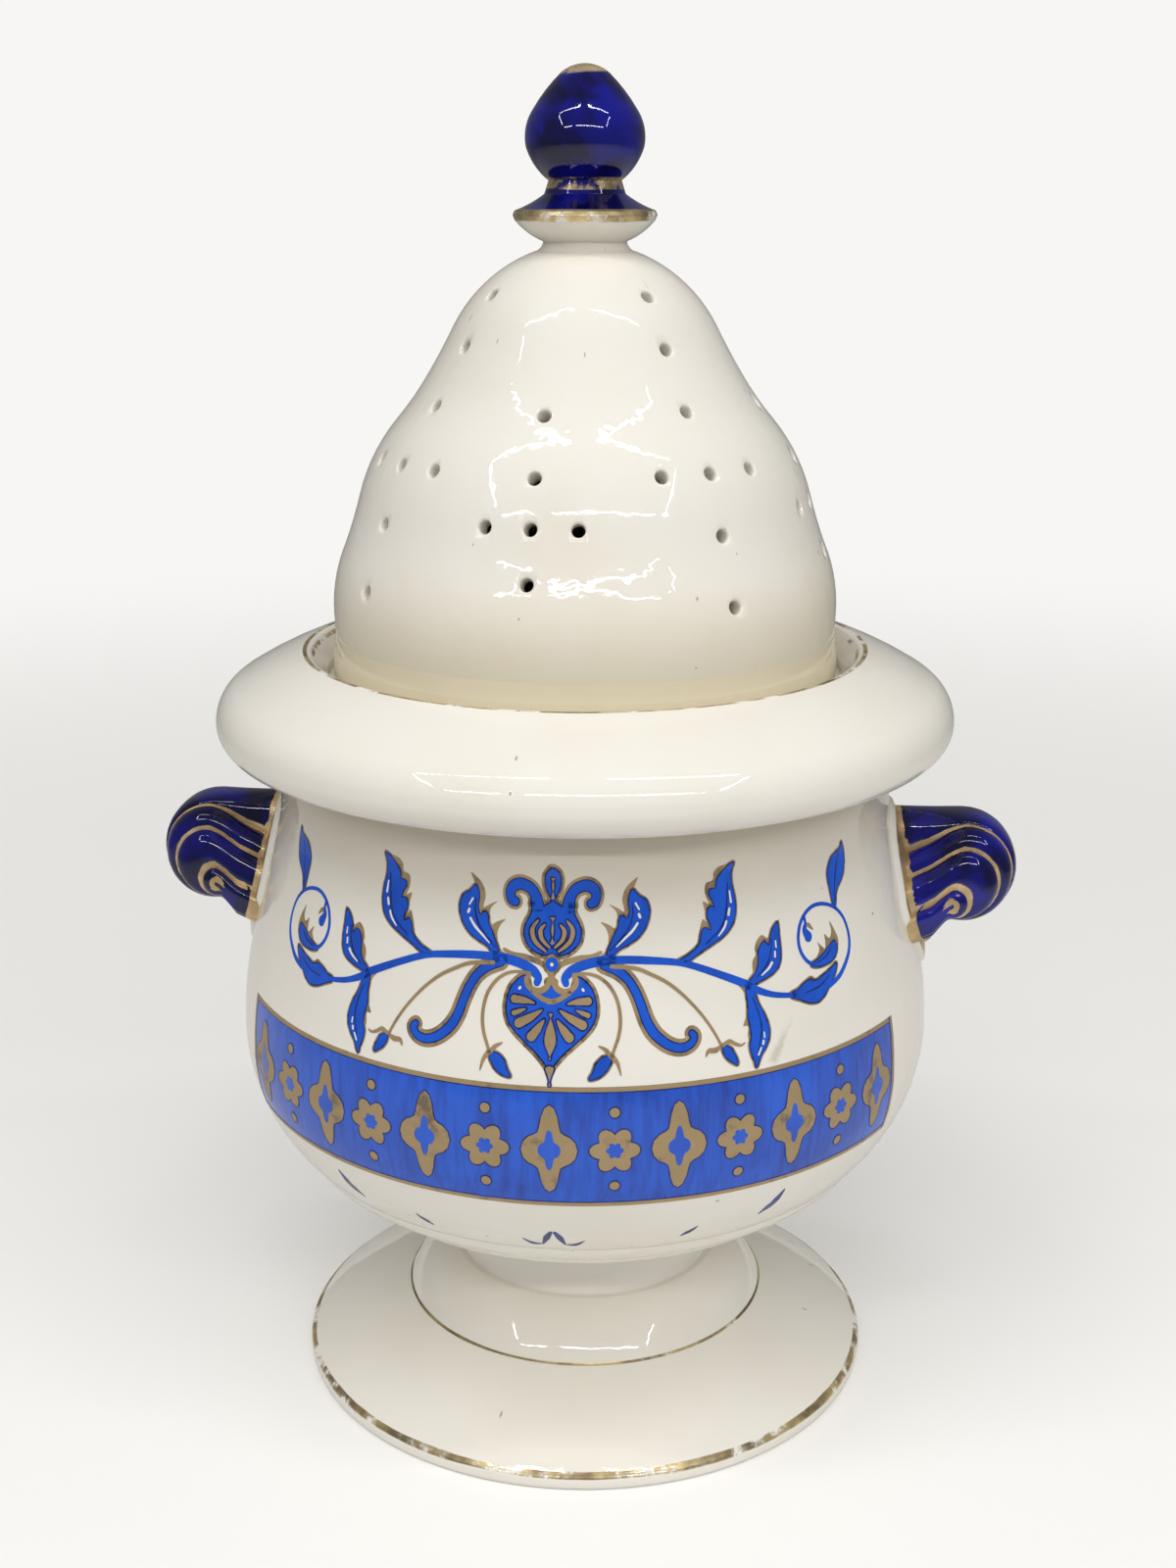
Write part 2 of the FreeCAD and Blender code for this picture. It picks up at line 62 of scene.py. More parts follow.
# Outlines of the turned pieces, in millimetres: radius, height and, at a corner, its rounding.
# "via" puts an arc through the next point.
VIA = "via"
FOOT_PLATE = [
    (86.2, 0, 1.5), (100.2, 0, 1.6), (100.2, 4.8, 2.2), VIA, (81.75, 15.1), (63.3, 23, 1.2), VIA, (56.55, 32.15),
    (47, 38.5, 1), (38, 38.5), (38, 31.5, 2), (56.3, 16, 8), (86.2, 3.5, 1.2),
]
FOOT_STEM = [
    (38, 38.5), (45, 38.5), VIA, (42, 48), (52, 70), (45, 70), VIA, (35, 48), (38, 38.5),
]
BASE_MOULDING = [
    (45, 70), (52, 70, 1.5), (87, 75, 3), (91.5, 79, 2.5), VIA, (97.15, 82.7), (101.2, 88), (60, 78), (45, 78),
]
BOWL = [
    (0, 78), (60, 78), (101.2, 88, 1.4), VIA, (111.3, 102), (117.9, 128), VIA, (116.9, 144), (113.9, 160),
    (104.5, 197, 12), VIA, (102.9, 205.5), (102.3, 214), (102.3, 226.5), (95.3, 226.5), (95.3, 214), VIA,
    (95.9, 205.5), (97.5, 196, 12), (107, 158.5), VIA, (109.9, 144), (110.9, 128), VIA, (104.6, 105),
    (95, 93.5, 9), (60, 85, 8), (0, 85),
]
RIM_ROLL = [
    (95.3, 226.5), (113.5, 226.5, 1), VIA, (119.86, 229.14), (122.5, 235.5), VIA, (120.69, 242.25),
    (115.75, 247.19),
    VIA, (104.5, 253.3), (92.7, 258, 1.6), (90.9, 257.2, 1.2), (85.5, 250.5, 1.2), (85.5, 232, 3),
]
GALLERY_RING = [(74, 240, 1.2), (85.5, 240), (85.5, 248), (74, 248, 1.6)]
COVER_FLANGE = [(76.4, 248, 1), (83.6, 248, 1.4), (83.3, 257.5, 5), (82.4, 263.4), (76.4, 263.4)]
COVER_DOME = [
    (0, 384), (16, 384, 1.5), VIA, (31.3, 374.8), (41.8, 361.5), VIA, (45.9, 353.8), (50.4, 346.1), VIA,
    (55.3, 338.7), (60.8, 331.8), VIA, (68.4, 320.5), (73.2, 308.1), VIA, (75.6, 299.9), (78.4, 292), VIA,
    (82.2, 278.9), (82.7, 270, 6), (82.4, 263.4), (77.2, 263.4), VIA, (76.2, 278.4), (72.4, 291), VIA,
    (67.2, 306.1), (54.8, 328.8), VIA, (44.4, 342.6), (35.8, 356.5), VIA, (25.3, 369.3), (13, 378), (0, 378),
]
FINIAL_COLLAR = [
    (0, 384), (15.6, 384, 0.8), VIA, (13.8, 385.5), (13.2, 387, 1), VIA, (18, 389.6), (22.1, 393.4, 0.6),
    (22.8, 395, 0.8), (22.2, 396.4, 0.6), VIA, (17.8, 398.3), (12.8, 401.4, 0.8), (11.5, 405.4), (0, 405.4),
]
FINIAL_KNOB = [
    (0, 405.4), (11.5, 405.4, 0.4), VIA, (15.6, 409.6), (18.5, 415.4), VIA, (18.6, 420.5), (16.2, 426.6), VIA,
    (12.4, 432), (7.6, 437.2, 3), VIA, (4, 439.28), (0, 440),
]

# Air holes, as in the source: height, radius and lean of each row, the turn and the arms' row and angle.
LARGE_CROSS = [
    (371.6, 34.6, 43), (356.5, 44.4, 28), (338.9, 55.2, 36), (321.8, 67.7, 29), (304, 74.3, 16), (283.5, 81.2, 17),
]
SMALL_CROSS = [(338.6, 55.4, 36), (321.7, 67.8, 29), (307.5, 73.4, 18), (292, 78.4, 20)]
CROSSES = [(LARGE_CROSS, -51.2, 3, 14), (SMALL_CROSS, -7.5, 2, 11.2)]
CROSS_REPEATS = 4
# The cut that makes one hole, from inside the wall to above the glaze: radius and depth.
HOLE_CUT = [
    (0, -16), (2.05, -16), (2.05, -1.1), (2.12, -0.6), (2.32, -0.25), (2.7, 0.02), (3.3, 0.25), (3.3, 4), (0, 4),
]
HOLE_SIDES = 28
FINIAL_SIDES = 96

# The whorls of a handle: radius and height of the centre, its own radius, half width, roots on the bowl.
WHORLS = [
    (128, 184.7, 18.3, 9, 203.5, 147),
    (127.6, 184, 16.5, 16, 184, 153),
    (127, 182.4, 11.8, 22, 177.5, 157),
    (123.4, 177.2, 5.2, 24.8, 167, 160),
    (123.2, 177, 0.5, 24.9, 165.5, 163.5),
]
# The radius inside the bowl's wall where every whorl starts and ends, in millimetres.
WHORL_START = 90
# Steps round a whorl and across half of one, and the power that makes its crown broad and its groove steep.
WHORL_ROUND = 72
WHORL_ACROSS = 18
WHORL_SQUARE = 2.5
# Gilding of a lug: the millimetres that one level counts for, the half width of a groove's gold, the levels and
# the radius of the eye's, and where the roots' gold starts to fade above the bowl and how fast.
WHORL_STEP = 4.5
GROOVE_GOLD = 1.5
EYE_LEVEL, EYE_END, EYE_GOLD = 3.3, 3.95, 2.6
ROOT_GOLD_FROM, ROOT_GOLD_WIDE = 2.9, 1.7
# The bowl's outside behind the lugs, from below: height and radius.
BOWL_RUN = [(128, 117.9), (144, 116.9), (160, 113.9), (197, 104.5), (205.5, 102.9), (214, 102.3), (226.5, 102.3)]

# The radius that turns an angle round the bowl into a distance on the paper, in metres.
FLAT_RADIUS = 0.116
# The band: half its spread round the bowl, and its edges.
BAND_HALF = math.radians(62)
BAND_LOW, BAND_HIGH = 110.5, 150
# Its row of motifs, and half the row's spread.
MOTIF_COUNT = 13
MOTIF_HALF = math.radians(57)
# Drawn lines of the band and of its motifs, in millimetres.
BAND_LINE, MOTIF_LINE = 0.35, 0.42
# Points in a quarter of a lozenge, and in a whole flower.
MOTIF_STEPS = 8
PETAL_STEPS = 96

# Two faces that meet at more than this angle keep a crisp edge between them.
SHARP_ANGLE = math.radians(50)
# Points nearer than this, in metres, are one point.
SAME_PLACE = 1e-7

GLAZE_IOR = 1.5
# Heights of the glaze's skin, in metres: its two sizes of waves, its fine peel and a speck's pit.
SHORT_WAVE, LONG_WAVE, PEEL, PIT = 0.00017, 0.00016, 0.00003, -0.00012

# One rubbed mark on the bowl, in metres: its two ends and its width.
SMUDGE = ((0.0723, -0.0898, 0.1642), (0.066, -0.0954, 0.1523), 0.0021)

# The stage, in metres: half the floor's side, and where it fades into the backdrop. Near the jar it glows faintly.
FLOOR_HALF = 40
FADE_FROM, FADE_TO = 0.35, 1.6
FLOOR_GLOW = 0.12
ROOM_COLOUR = (1, 0.99, 0.97, 1)
LAMP_AIM = Vector((0, 0, 0.25))
KEY_PLACE, KEY_SIZE = (-0.2, -1.2, 2.9), 1.8
FILL_PLACE, FILL_SIZE = (1.5, -1.0, 0.9), 1.2
WINDOW_PLACE = (0.05, -0.85, 1.3)
WINDOW_BAR = 0.02
# Each bar: its name, its middle, its length, and whether it is upright.
WINDOW_BARS = (
    ("top_left", (-0.6, 0.5), 0.9, False), ("top_right", (0.55, 0.5), 0.85, False),
    ("bottom_left", (-0.8, -0.5), 0.5, False), ("bottom_right", (0.3, -0.5), 1.3, False),
    ("left", (-1.1, 0.06), 0.7, True), ("right", (1.1, -0.04), 0.76, True),
)


# ---------------------------------------------------------------- node trees


def add(tree, kind, inputs=None, **settings):
    """A node with its settings, and with its inputs set or linked."""
    node = tree.nodes.new(kind)
    for name, setting in settings.items():
        setattr(node, name, setting)
    for key, source in (inputs or {}).items():
        if isinstance(source, bpy.types.NodeSocket):
            tree.links.new(source, node.inputs[key])
        else:
            node.inputs[key].default_value = source
    return node


def calc(tree, operation, *values):
    """The result of one sum on numbers."""
    return add(tree, "ShaderNodeMath", dict(enumerate(values)), operation=operation).outputs[0]


def point_sum(tree, operation, *values):
    """The result of one sum on vectors."""
    result = add(tree, "ShaderNodeVectorMath", dict(enumerate(values)), operation=operation)
    return result.outputs["Value" if operation in {"LENGTH", "DISTANCE", "DOT_PRODUCT"} else "Vector"]


def here(tree):
    """The point's place on its own piece."""
    return add(tree, "ShaderNodeTexCoord").outputs["Object"]


def parts(tree, place):
    """The three parts of a vector."""
    return add(tree, "ShaderNodeSeparateXYZ", {0: place}).outputs


def vector(tree, x=0.0, y=0.0, z=0.0):
    """A vector from its three parts."""
    return add(tree, "ShaderNodeCombineXYZ", {0: x, 1: y, 2: z}).outputs[0]


def scaled(tree, way, size):
    """A vector made longer or shorter."""
    return add(tree, "ShaderNodeVectorMath", {0: way, "Scale": size}, operation="SCALE").outputs[0]


def blend(tree, factor, first, second):
    """One colour over another."""
    mixed = add(tree, "ShaderNodeMix", {"Factor": factor}, data_type="RGBA")
    for socket, source in ((mixed.inputs[6], first), (mixed.inputs[7], second)):
        if isinstance(source, bpy.types.NodeSocket):
            tree.links.new(source, socket)
        else:
            socket.default_value = source
    return mixed.outputs[2]


def between(tree, number, low, high, start=0.0, end=1.0):
    """A number brought smoothly from one range to another."""
    inputs = {"Value": number, "From Min": low, "From Max": high, "To Min": start, "To Max": end}
    return add(tree, "ShaderNodeMapRange", inputs, interpolation_type="SMOOTHSTEP").outputs["Result"]


def new_tree(name, kind, inputs, outputs):
    """A node group with named sockets, and its two end nodes."""
    tree = bpy.data.node_groups.new(name, kind)
    for side, sockets in (("INPUT", inputs), ("OUTPUT", outputs)):
        for socket, (socket_kind, default) in sockets.items():
            made = tree.interface.new_socket(socket, in_out=side, socket_type="NodeSocket" + socket_kind)
            if default is not None:
                made.default_value = default
    return tree, add(tree, "NodeGroupInput").outputs, add(tree, "NodeGroupOutput")


def send(tree, outputs, results):
    """Links the results to the group's outputs."""
    for name, source in results.items():
        tree.links.new(source, outputs.inputs[name])


def shape_of(tree, thing):
    """The geometry of another object."""
    return add(tree, "GeometryNodeObjectInfo", {"Object": thing}).outputs["Geometry"]


def end_tree(tree, outputs, geometry, material):
    """Ends a geometry tree with plain geometry in its material."""
    real = add(tree, "GeometryNodeRealizeInstances", {0: geometry}).outputs[0]
    painted = add(tree, "GeometryNodeSetMaterial", {0: real, "Material": material}).outputs[0]
    send(tree, outputs, {"Geometry": painted})


def use(tree, group, **inputs):
    """A node group placed in a material, with its own values."""
    placed = add(tree, "ShaderNodeGroup", node_tree=bpy.data.node_groups[group])
    for name, source in inputs.items():
        key = name.replace("_", " ").title()
        if isinstance(source, bpy.types.NodeSocket):
            tree.links.new(source, placed.inputs[key])
        else:
            placed.inputs[key].default_value = source
    return placed.outputs


def noise(tree, place, scale, detail=3.0, rough=0.55):
    """A cloudy pattern from 0 to 1."""
    inputs = {"Vector": place, "Scale": scale, "Detail": detail, "Roughness": rough}
    return add(tree, "ShaderNodeTexNoise", inputs).outputs["Fac"]


# ---------------------------------------------------------------- finishes


def make_glaze_group():
    """Glaze over pottery: cloudy warmth, dark specks, and the skin's soft waves."""
    tree, given, out = new_tree("Glaze Skin", "ShaderNodeTree", {
        "Color": ("Color", (0.8, 0.8, 0.8, 1)),
        "Warm Color": ("Color", (0.8, 0.7, 0.5, 1)),
        "Warmth": ("Float", 0.3),
        "Specks": ("Float", 0.5),
        "Shift": ("Float", 0.0),
        "Waves": ("Float", 1.0),
    }, {
        "Color": ("Color", None),
        "Roughness": ("Float", None),
        "Height": ("Float", None),
    })
    place = here(tree)
    moved = point_sum(tree, "ADD", place, vector(tree, given["Shift"]))
    cloud = between(tree, noise(tree, moved, 14.0, 4.0), 0.42, 0.72)
    fine = noise(tree, moved, 160.0, 2.0)
    mottled = calc(tree, "MULTIPLY_ADD", cloud, 0.8, calc(tree, "MULTIPLY", fine, 0.2))
    warm = calc(tree, "MULTIPLY", given["Warmth"], mottled)
    colour = blend(tree, warm, given["Color"], given["Warm Color"])
    side = parts(tree, place)
    around = calc(tree, "ARCTAN2", side[0], calc(tree, "MULTIPLY", side[1], -1.0))
    reach = point_sum(tree, "LENGTH", vector(tree, side[0], side[1]))
    unrolled = vector(tree, calc(tree, "MULTIPLY_ADD", around, 0.09, given["Shift"]),
                      calc(tree, "MULTIPLY_ADD", reach, 0.9, side[2]))
    cells = add(tree, "ShaderNodeTexVoronoi", {"Vector": unrolled, "Scale": 52.0, "Randomness": 1.0},
                voronoi_dimensions="2D")
    chance = add(tree, "ShaderNodeSeparateColor", {0: cells.outputs["Color"]}).outputs
    chosen = calc(tree, "LESS_THAN", chance[0], calc(tree, "MULTIPLY", given["Specks"], 0.24))
    size = calc(tree, "MULTIPLY_ADD", chance[1], 0.026, 0.016)
    spot = calc(tree, "SUBTRACT", 1.0, between(tree, cells.outputs["Distance"], 0.0, size))
    speck = calc(tree, "MULTIPLY", spot, chosen)
    colour = blend(tree, calc(tree, "MULTIPLY", speck, 0.8), colour, (0.09, 0.06, 0.035, 1))
    roughness = calc(tree, "MULTIPLY_ADD", noise(tree, moved, 45.0, 4.0), 0.05, 0.008)
    waves = calc(tree, "MULTIPLY_ADD", noise(tree, moved, 115.0, 2.0), SHORT_WAVE,
                 calc(tree, "MULTIPLY", noise(tree, moved, 38.0, 2.0), LONG_WAVE))
    peel = calc(tree, "MULTIPLY", noise(tree, moved, 260.0, 1.0), PEEL)
    skin = calc(tree, "MULTIPLY", calc(tree, "ADD", waves, peel), given["Waves"])
    pit = calc(tree, "MULTIPLY", speck, PIT)
    send(tree, out, {
        "Color": colour,
        "Roughness": calc(tree, "ADD", roughness, calc(tree, "MULTIPLY", speck, 0.4)),
        "Height": calc(tree, "ADD", skin, pit),
    })


def make_ring_group():
    """A painted gold line round the axis, with a hand's wobble and worn places."""
    tree, given, out = new_tree("Gold Ring", "ShaderNodeTree", {
        "Radius": ("Float", 0.05),
        "Height": ("Float", 0.0),
        "Half Width": ("Float", 0.001),
        "Wear": ("Float", 0.3),
    }, {"Mask": ("Float", None)})
    place = here(tree)
    across = parts(tree, place)
    out_from_axis = point_sum(tree, "LENGTH", vector(tree, across[0], across[1]))
    offset = vector(tree, calc(tree, "SUBTRACT", out_from_axis, given["Radius"]),
                    calc(tree, "SUBTRACT", across[2], given["Height"]))
    wobble = calc(tree, "MULTIPLY_ADD", noise(tree, place, 30.0, 3.0), 0.9, 0.55)
    half = calc(tree, "MULTIPLY", given["Half Width"], wobble)
    near = calc(tree, "DIVIDE", point_sum(tree, "LENGTH", offset), half)
    line = calc(tree, "SUBTRACT", 1.0, between(tree, near, 0.85, 1.1))
    rubbed = between(tree, noise(tree, place, 75.0, 5.0, 0.7), calc(tree, "SUBTRACT", given["Wear"], 0.06),
                     calc(tree, "ADD", given["Wear"], 0.06))
    send(tree, out, {"Mask": calc(tree, "MULTIPLY", line, rubbed)})


def make_gold_group():
    """Worn gilding: bright and brown places, rubbed and dull ones."""
    tree, given, out = new_tree("Worn Gold", "ShaderNodeTree", {
        "Bright Color": ("Color", (0.6, 0.4, 0.15, 1)),
        "Dark Color": ("Color", (0.25, 0.16, 0.07, 1)),
        "Dullness": ("Float", 0.3),
    }, {"Color": ("Color", None), "Roughness": ("Float", None), "Height": ("Float", None)})
    place = here(tree)
    patch = between(tree, noise(tree, place, 55.0, 6.0, 0.65), 0.35, 0.68)
    grain = noise(tree, place, 600.0, 3.0, 0.7)
    tone = calc(tree, "MULTIPLY_ADD", patch, 0.8, calc(tree, "MULTIPLY", grain, 0.2))
    dull = calc(tree, "SUBTRACT", given["Dullness"], calc(tree, "MULTIPLY", patch, 0.1))
    send(tree, out, {
        "Color": blend(tree, tone, given["Dark Color"], given["Bright Color"]),
        "Roughness": calc(tree, "MULTIPLY_ADD", grain, 0.22, dull),
        "Height": calc(tree, "MULTIPLY", grain, 0.00002),
    })


def make_groups():
    """The effects that several finishes share, each made once."""
    if "Glaze Skin" not in bpy.data.node_groups:
        make_glaze_group()
        make_ring_group()
        make_gold_group()


def finish(name, paint):
    """A material with one Principled BSDF, whose inputs the paint function gives."""
    if name in bpy.data.materials:
        return bpy.data.materials[name]
    make_groups()
    material = bpy.data.materials.new(name)
    material.use_nodes = True
    tree = material.node_tree
    shader = tree.nodes["Principled BSDF"]
    for key, source in paint(tree).items():
        if isinstance(source, bpy.types.NodeSocket):
            tree.links.new(source, shader.inputs[key])
        else:
            shader.inputs[key].default_value = source
    return material


def relief(tree, height):
    """The surface bent by a height in metres."""
    return add(tree, "ShaderNodeBump", {"Height": height, "Strength": 1.0, "Distance": 1.0}).outputs["Normal"]


def shade(name):
    """One of the jar's colours, with its alpha."""
    return (*getattr(bpy.context.scene.jar_colours, name), 1)


def glaze_skin(tree, **inputs):
    """The colour, roughness and height of glazed pottery."""
    skin = use(tree, "Glaze Skin", **inputs)
    return {key: skin[key] for key in ("Color", "Roughness", "Height")}


def cream_skin(tree, **inputs):
    """The ivory glaze, before anything is painted over it."""
    return glaze_skin(tree, color=shade("glaze"), warm_color=shade("warm_glaze"), **inputs)


def gilded(tree, base, mask, line=False):
    """A glaze with worn gold laid over it where the mask says, browner in a painted line."""
    bright, dark = ("line_gold", "worn_line") if line else ("gold", "old_gold")
    gold = use(tree, "Worn Gold", bright_color=shade(bright), dark_color=shade(dark), dullness=0.32)
    return {
        "Base Color": blend(tree, mask, base["Color"], gold["Color"]),
        "Metallic": calc(tree, "MULTIPLY", mask, 0.7),
        "Roughness": calc(tree, "MULTIPLY_ADD", calc(tree, "SUBTRACT", gold["Roughness"], base["Roughness"]), mask,
                          base["Roughness"]),
        "Normal": relief(tree, base["Height"]),
        "IOR": GLAZE_IOR,
    }


def all_rings(tree, rings):
    """The masks of several gold lines, as one."""
    whole = None
    for radius, height, half, wear in rings:
        mask = use(tree, "Gold Ring", radius=radius * MM, height=height * MM, half_width=half * MM, wear=wear)["Mask"]
        whole = mask if whole is None else calc(tree, "MAXIMUM", whole, mask)
    return whole


def stain_and_shade_band(tree, colour, stain, low, high, amount):
    """A colour banded between two heights, strongest at the first: real tea-brown staining on some pieces, painted
    shade under the rim on the bowl's neck.
    """
    place = here(tree)
    up = parts(tree, place)[2]
    ragged = calc(tree, "MULTIPLY_ADD", noise(tree, place, 26.0, 5.0), 0.012, up)
    mask = between(tree, ragged, low, high, amount, 0.0)
    return blend(tree, mask, colour, stain)


def smudged(tree, colour, start, end, width):
    """A colour with one rubbed, olive mark between two points."""
    place = here(tree)
    start, end = Vector(start), Vector(end)
    along = end - start
    from_start = point_sum(tree, "SUBTRACT", place, start)
    reach = calc(tree, "DIVIDE", point_sum(tree, "DOT_PRODUCT", from_start, along), along.length_squared)
    reach = calc(tree, "MINIMUM", calc(tree, "MAXIMUM", reach, 0.0), 1.0)
    nearest = scaled(tree, along, reach)
    away = point_sum(tree, "LENGTH", point_sum(tree, "SUBTRACT", from_start, nearest))
    ragged = calc(tree, "MULTIPLY_ADD", noise(tree, place, 700.0, 3.0), width, away)
    mask = between(tree, ragged, width * 0.7, width * 1.7, 0.55, 0.0)
    return blend(tree, mask, colour, shade("shade_and_smudge"))


def cream_glaze(name, rings=(), shift=0.0, stain=None, warmth=0.32, specks=0.5, shade_and_smudge=None, smudge=None, waves=1.0):
    """The ivory glaze, with gold lines, staining, painted shade under the rim and one smudge where a piece has them."""
    def paint(tree):
        base = cream_skin(tree, warmth=warmth, specks=specks, shift=shift, waves=waves)
        if stain:
            base["Color"] = stain_and_shade_band(tree, base["Color"], shade("stain"), *stain)
        # Painted shade: a brown band on the bowl's neck, darkest just under the rim.
        if shade_and_smudge:
            base["Color"] = stain_and_shade_band(tree, base["Color"], shade("shade_and_smudge"), *shade_and_smudge)
        if smudge:
            base["Color"] = smudged(tree, base["Color"], *smudge)
        if rings:
            return gilded(tree, base, all_rings(tree, rings), line=True)
        return {"Base Color": base["Color"], "Roughness": base["Roughness"], "Normal": relief(tree, base["Height"]),
                "IOR": GLAZE_IOR}
    return finish(name, paint)


def cobalt_base(tree):
    """The deep blue glaze: pools of darker blue, and a few specks."""
    place = here(tree)
    pool = between(tree, noise(tree, place, 60.0, 4.0, 0.6), 0.36, 0.66)
    blue = blend(tree, pool, shade("dark_cobalt"), shade("cobalt"))
    return glaze_skin(tree, color=blue, warm_color=shade("dark_cobalt"), warmth=0.5, specks=0.2, shift=0.3, waves=0.6)


def cobalt_glaze(name, rings=(), gold_attribute=False):
    """The blue glaze with its gold lines, from rings round the axis or from the mesh's own gilding."""
    def paint(tree):
        base = cobalt_base(tree)
        if gold_attribute:
            mark = add(tree, "ShaderNodeAttribute", attribute_name="gilding").outputs["Fac"]
            place = here(tree)
            rubbed = noise(tree, place, 190.0, 4.0, 0.6)
            edge = calc(tree, "SUBTRACT", mark, calc(tree, "MULTIPLY", rubbed, 0.55))
            mask = between(tree, edge, 0.12, 0.26)
        else:
            mask = all_rings(tree, rings)
        return gilded(tree, base, mask)
    return finish(name, paint)


def collar_glaze(name, rings, painted_above):
    """The collar's finish: cream below, blue above a height, with gold lines."""
    def paint(tree):
        skin = cream_skin(tree, warmth=0.4, specks=0.6, shift=0.8)
        base = cobalt_base(tree)
        place = here(tree)
        up = parts(tree, place)[2]
        ragged = calc(tree, "MULTIPLY_ADD", noise(tree, place, 90.0, 4.0), 0.0008, up)
        blue = between(tree, ragged, painted_above, painted_above + 0.0004)
        base["Color"] = blend(tree, blue, skin["Color"], base["Color"])
        return gilded(tree, base, all_rings(tree, rings), line=True)
    return finish(name, paint)


def leaf_glaze(name):
    """The handle's leaf: cream at its edge and gilded where the scroll grows out of it."""
    def paint(tree):
        base = cream_skin(tree, warmth=0.6, specks=0.6, shift=0.7)
        mark = add(tree, "ShaderNodeAttribute", attribute_name="gilding").outputs["Fac"]
        place = here(tree)
        edge = calc(tree, "SUBTRACT", mark, calc(tree, "MULTIPLY", noise(tree, place, 170.0, 5.0, 0.65), 0.5))
        return gilded(tree, base, between(tree, edge, 0.1, 0.22))
    return finish(name, paint)


def printed_blue(name, streaks):
    """The printed blue: drawn-out vertical streaks, thin places and deeper pools."""
    def paint(tree):
        place = here(tree)
        drawn = add(tree, "ShaderNodeMapping", {"Vector": place, "Scale": (1.0, 1.0, 0.06)}).outputs[0]
        streak = between(tree, noise(tree, drawn, 420.0, 3.0, 0.6), 0.35, 0.7)
        cloud = between(tree, noise(tree, place, 40.0, 4.0), 0.35, 0.7)
        tone = calc(tree, "MULTIPLY_ADD", streak, streaks, calc(tree, "MULTIPLY", cloud, 0.45))
        return {
            "Base Color": blend(tree, tone, shade("print_blue"), shade("deep_blue")),
            "Roughness": calc(tree, "MULTIPLY_ADD", cloud, 0.08, 0.1),
            "Normal": relief(tree, calc(tree, "MULTIPLY", streak, 0.00001)),
            "IOR": GLAZE_IOR,
        }
    return finish(name, paint)


def printed_gold(name, wear):
    """The printed gilding: brown gold, mottled, with the darker ground showing where it is rubbed."""
    def paint(tree):
        gold = use(tree, "Worn Gold", bright_color=shade("print_gold"), dark_color=shade("old_gold"),
                   dullness=0.42)
        place = here(tree)
        rubbed = between(tree, noise(tree, place, 95.0, 6.0, 0.7), wear, wear + 0.16)
        return {
            "Base Color": blend(tree, rubbed, shade("bare_gold"), gold["Color"]),
            "Metallic": calc(tree, "MULTIPLY", rubbed, 0.45),
            "Roughness": gold["Roughness"],
            "Normal": relief(tree, gold["Height"]),
        }
    return finish(name, paint)


def hairline(name):
    """The dark blue line that the print is drawn in."""
    def paint(tree):
        place = here(tree)
        thin = between(tree, noise(tree, place, 260.0, 4.0), 0.3, 0.75)
        return {
            "Base Color": blend(tree, thin, shade("line"), shade("deep_blue")),
            "Roughness": calc(tree, "MULTIPLY_ADD", thin, 0.1, 0.14),
            "IOR": GLAZE_IOR,
        }
    return finish(name, paint)


# ---------------------------------------------------------------- meshes


def new_object(name, mesh):
    """An object in the scene, at the origin."""
    thing = bpy.data.objects.new(name, mesh)
    bpy.context.scene.collection.objects.link(thing)
    return thing


def marked_mesh(name, verts, faces, mark, values, edges=(), kind="FLOAT"):
    """A mesh that keeps a value at each of its points."""
    mesh = bpy.data.meshes.new(name)
    mesh.from_pydata(verts, edges, faces)
    marks = mesh.attributes.new(mark, kind, "POINT")
    marks.data.foreach_set("value" if kind == "FLOAT" else "vector", values)
    return mesh


def grow(thing, tree, inputs):
    """Runs a Geometry Nodes tree on an object, with its named inputs, and keeps the result as a plain mesh."""
    modifier = thing.modifiers.new("nodes", "NODES")
    modifier.node_group = tree
    sockets = {item.name: item.identifier for item in tree.interface.items_tree if item.item_type == "SOCKET"
               and item.in_out == "INPUT"}
    for name, setting in inputs.items():
        modifier[sockets[name]] = setting
    bpy.context.view_layer.update()
    graph = bpy.context.evaluated_depsgraph_get()
    mesh = bpy.data.meshes.new_from_object(thing.evaluated_get(graph), preserve_all_data_layers=True, depsgraph=graph)
    thing.modifiers.remove(modifier)
    old = thing.data
    thing.data = mesh
    bpy.data.meshes.remove(old)
    if not mesh.polygons:
        raise RuntimeError(f"{thing.name} came out empty")
    return thing


def face_out(thing, smooth=True):
    """Merges doubles, turns the faces outwards and keeps the crisp edges crisp."""
    bm = bmesh.new()
    bm.from_mesh(thing.data)
    bmesh.ops.remove_doubles(bm, verts=bm.verts, dist=SAME_PLACE)
    bmesh.ops.recalc_face_normals(bm, faces=bm.faces)
    if bm.calc_volume(signed=True) < 0:
        bmesh.ops.reverse_faces(bm, faces=bm.faces)
    for face in bm.faces:
        face.smooth = smooth
    bm.to_mesh(thing.data)
    bm.free()
    thing.data.set_sharp_from_angle(angle=SHARP_ANGLE)
    return thing


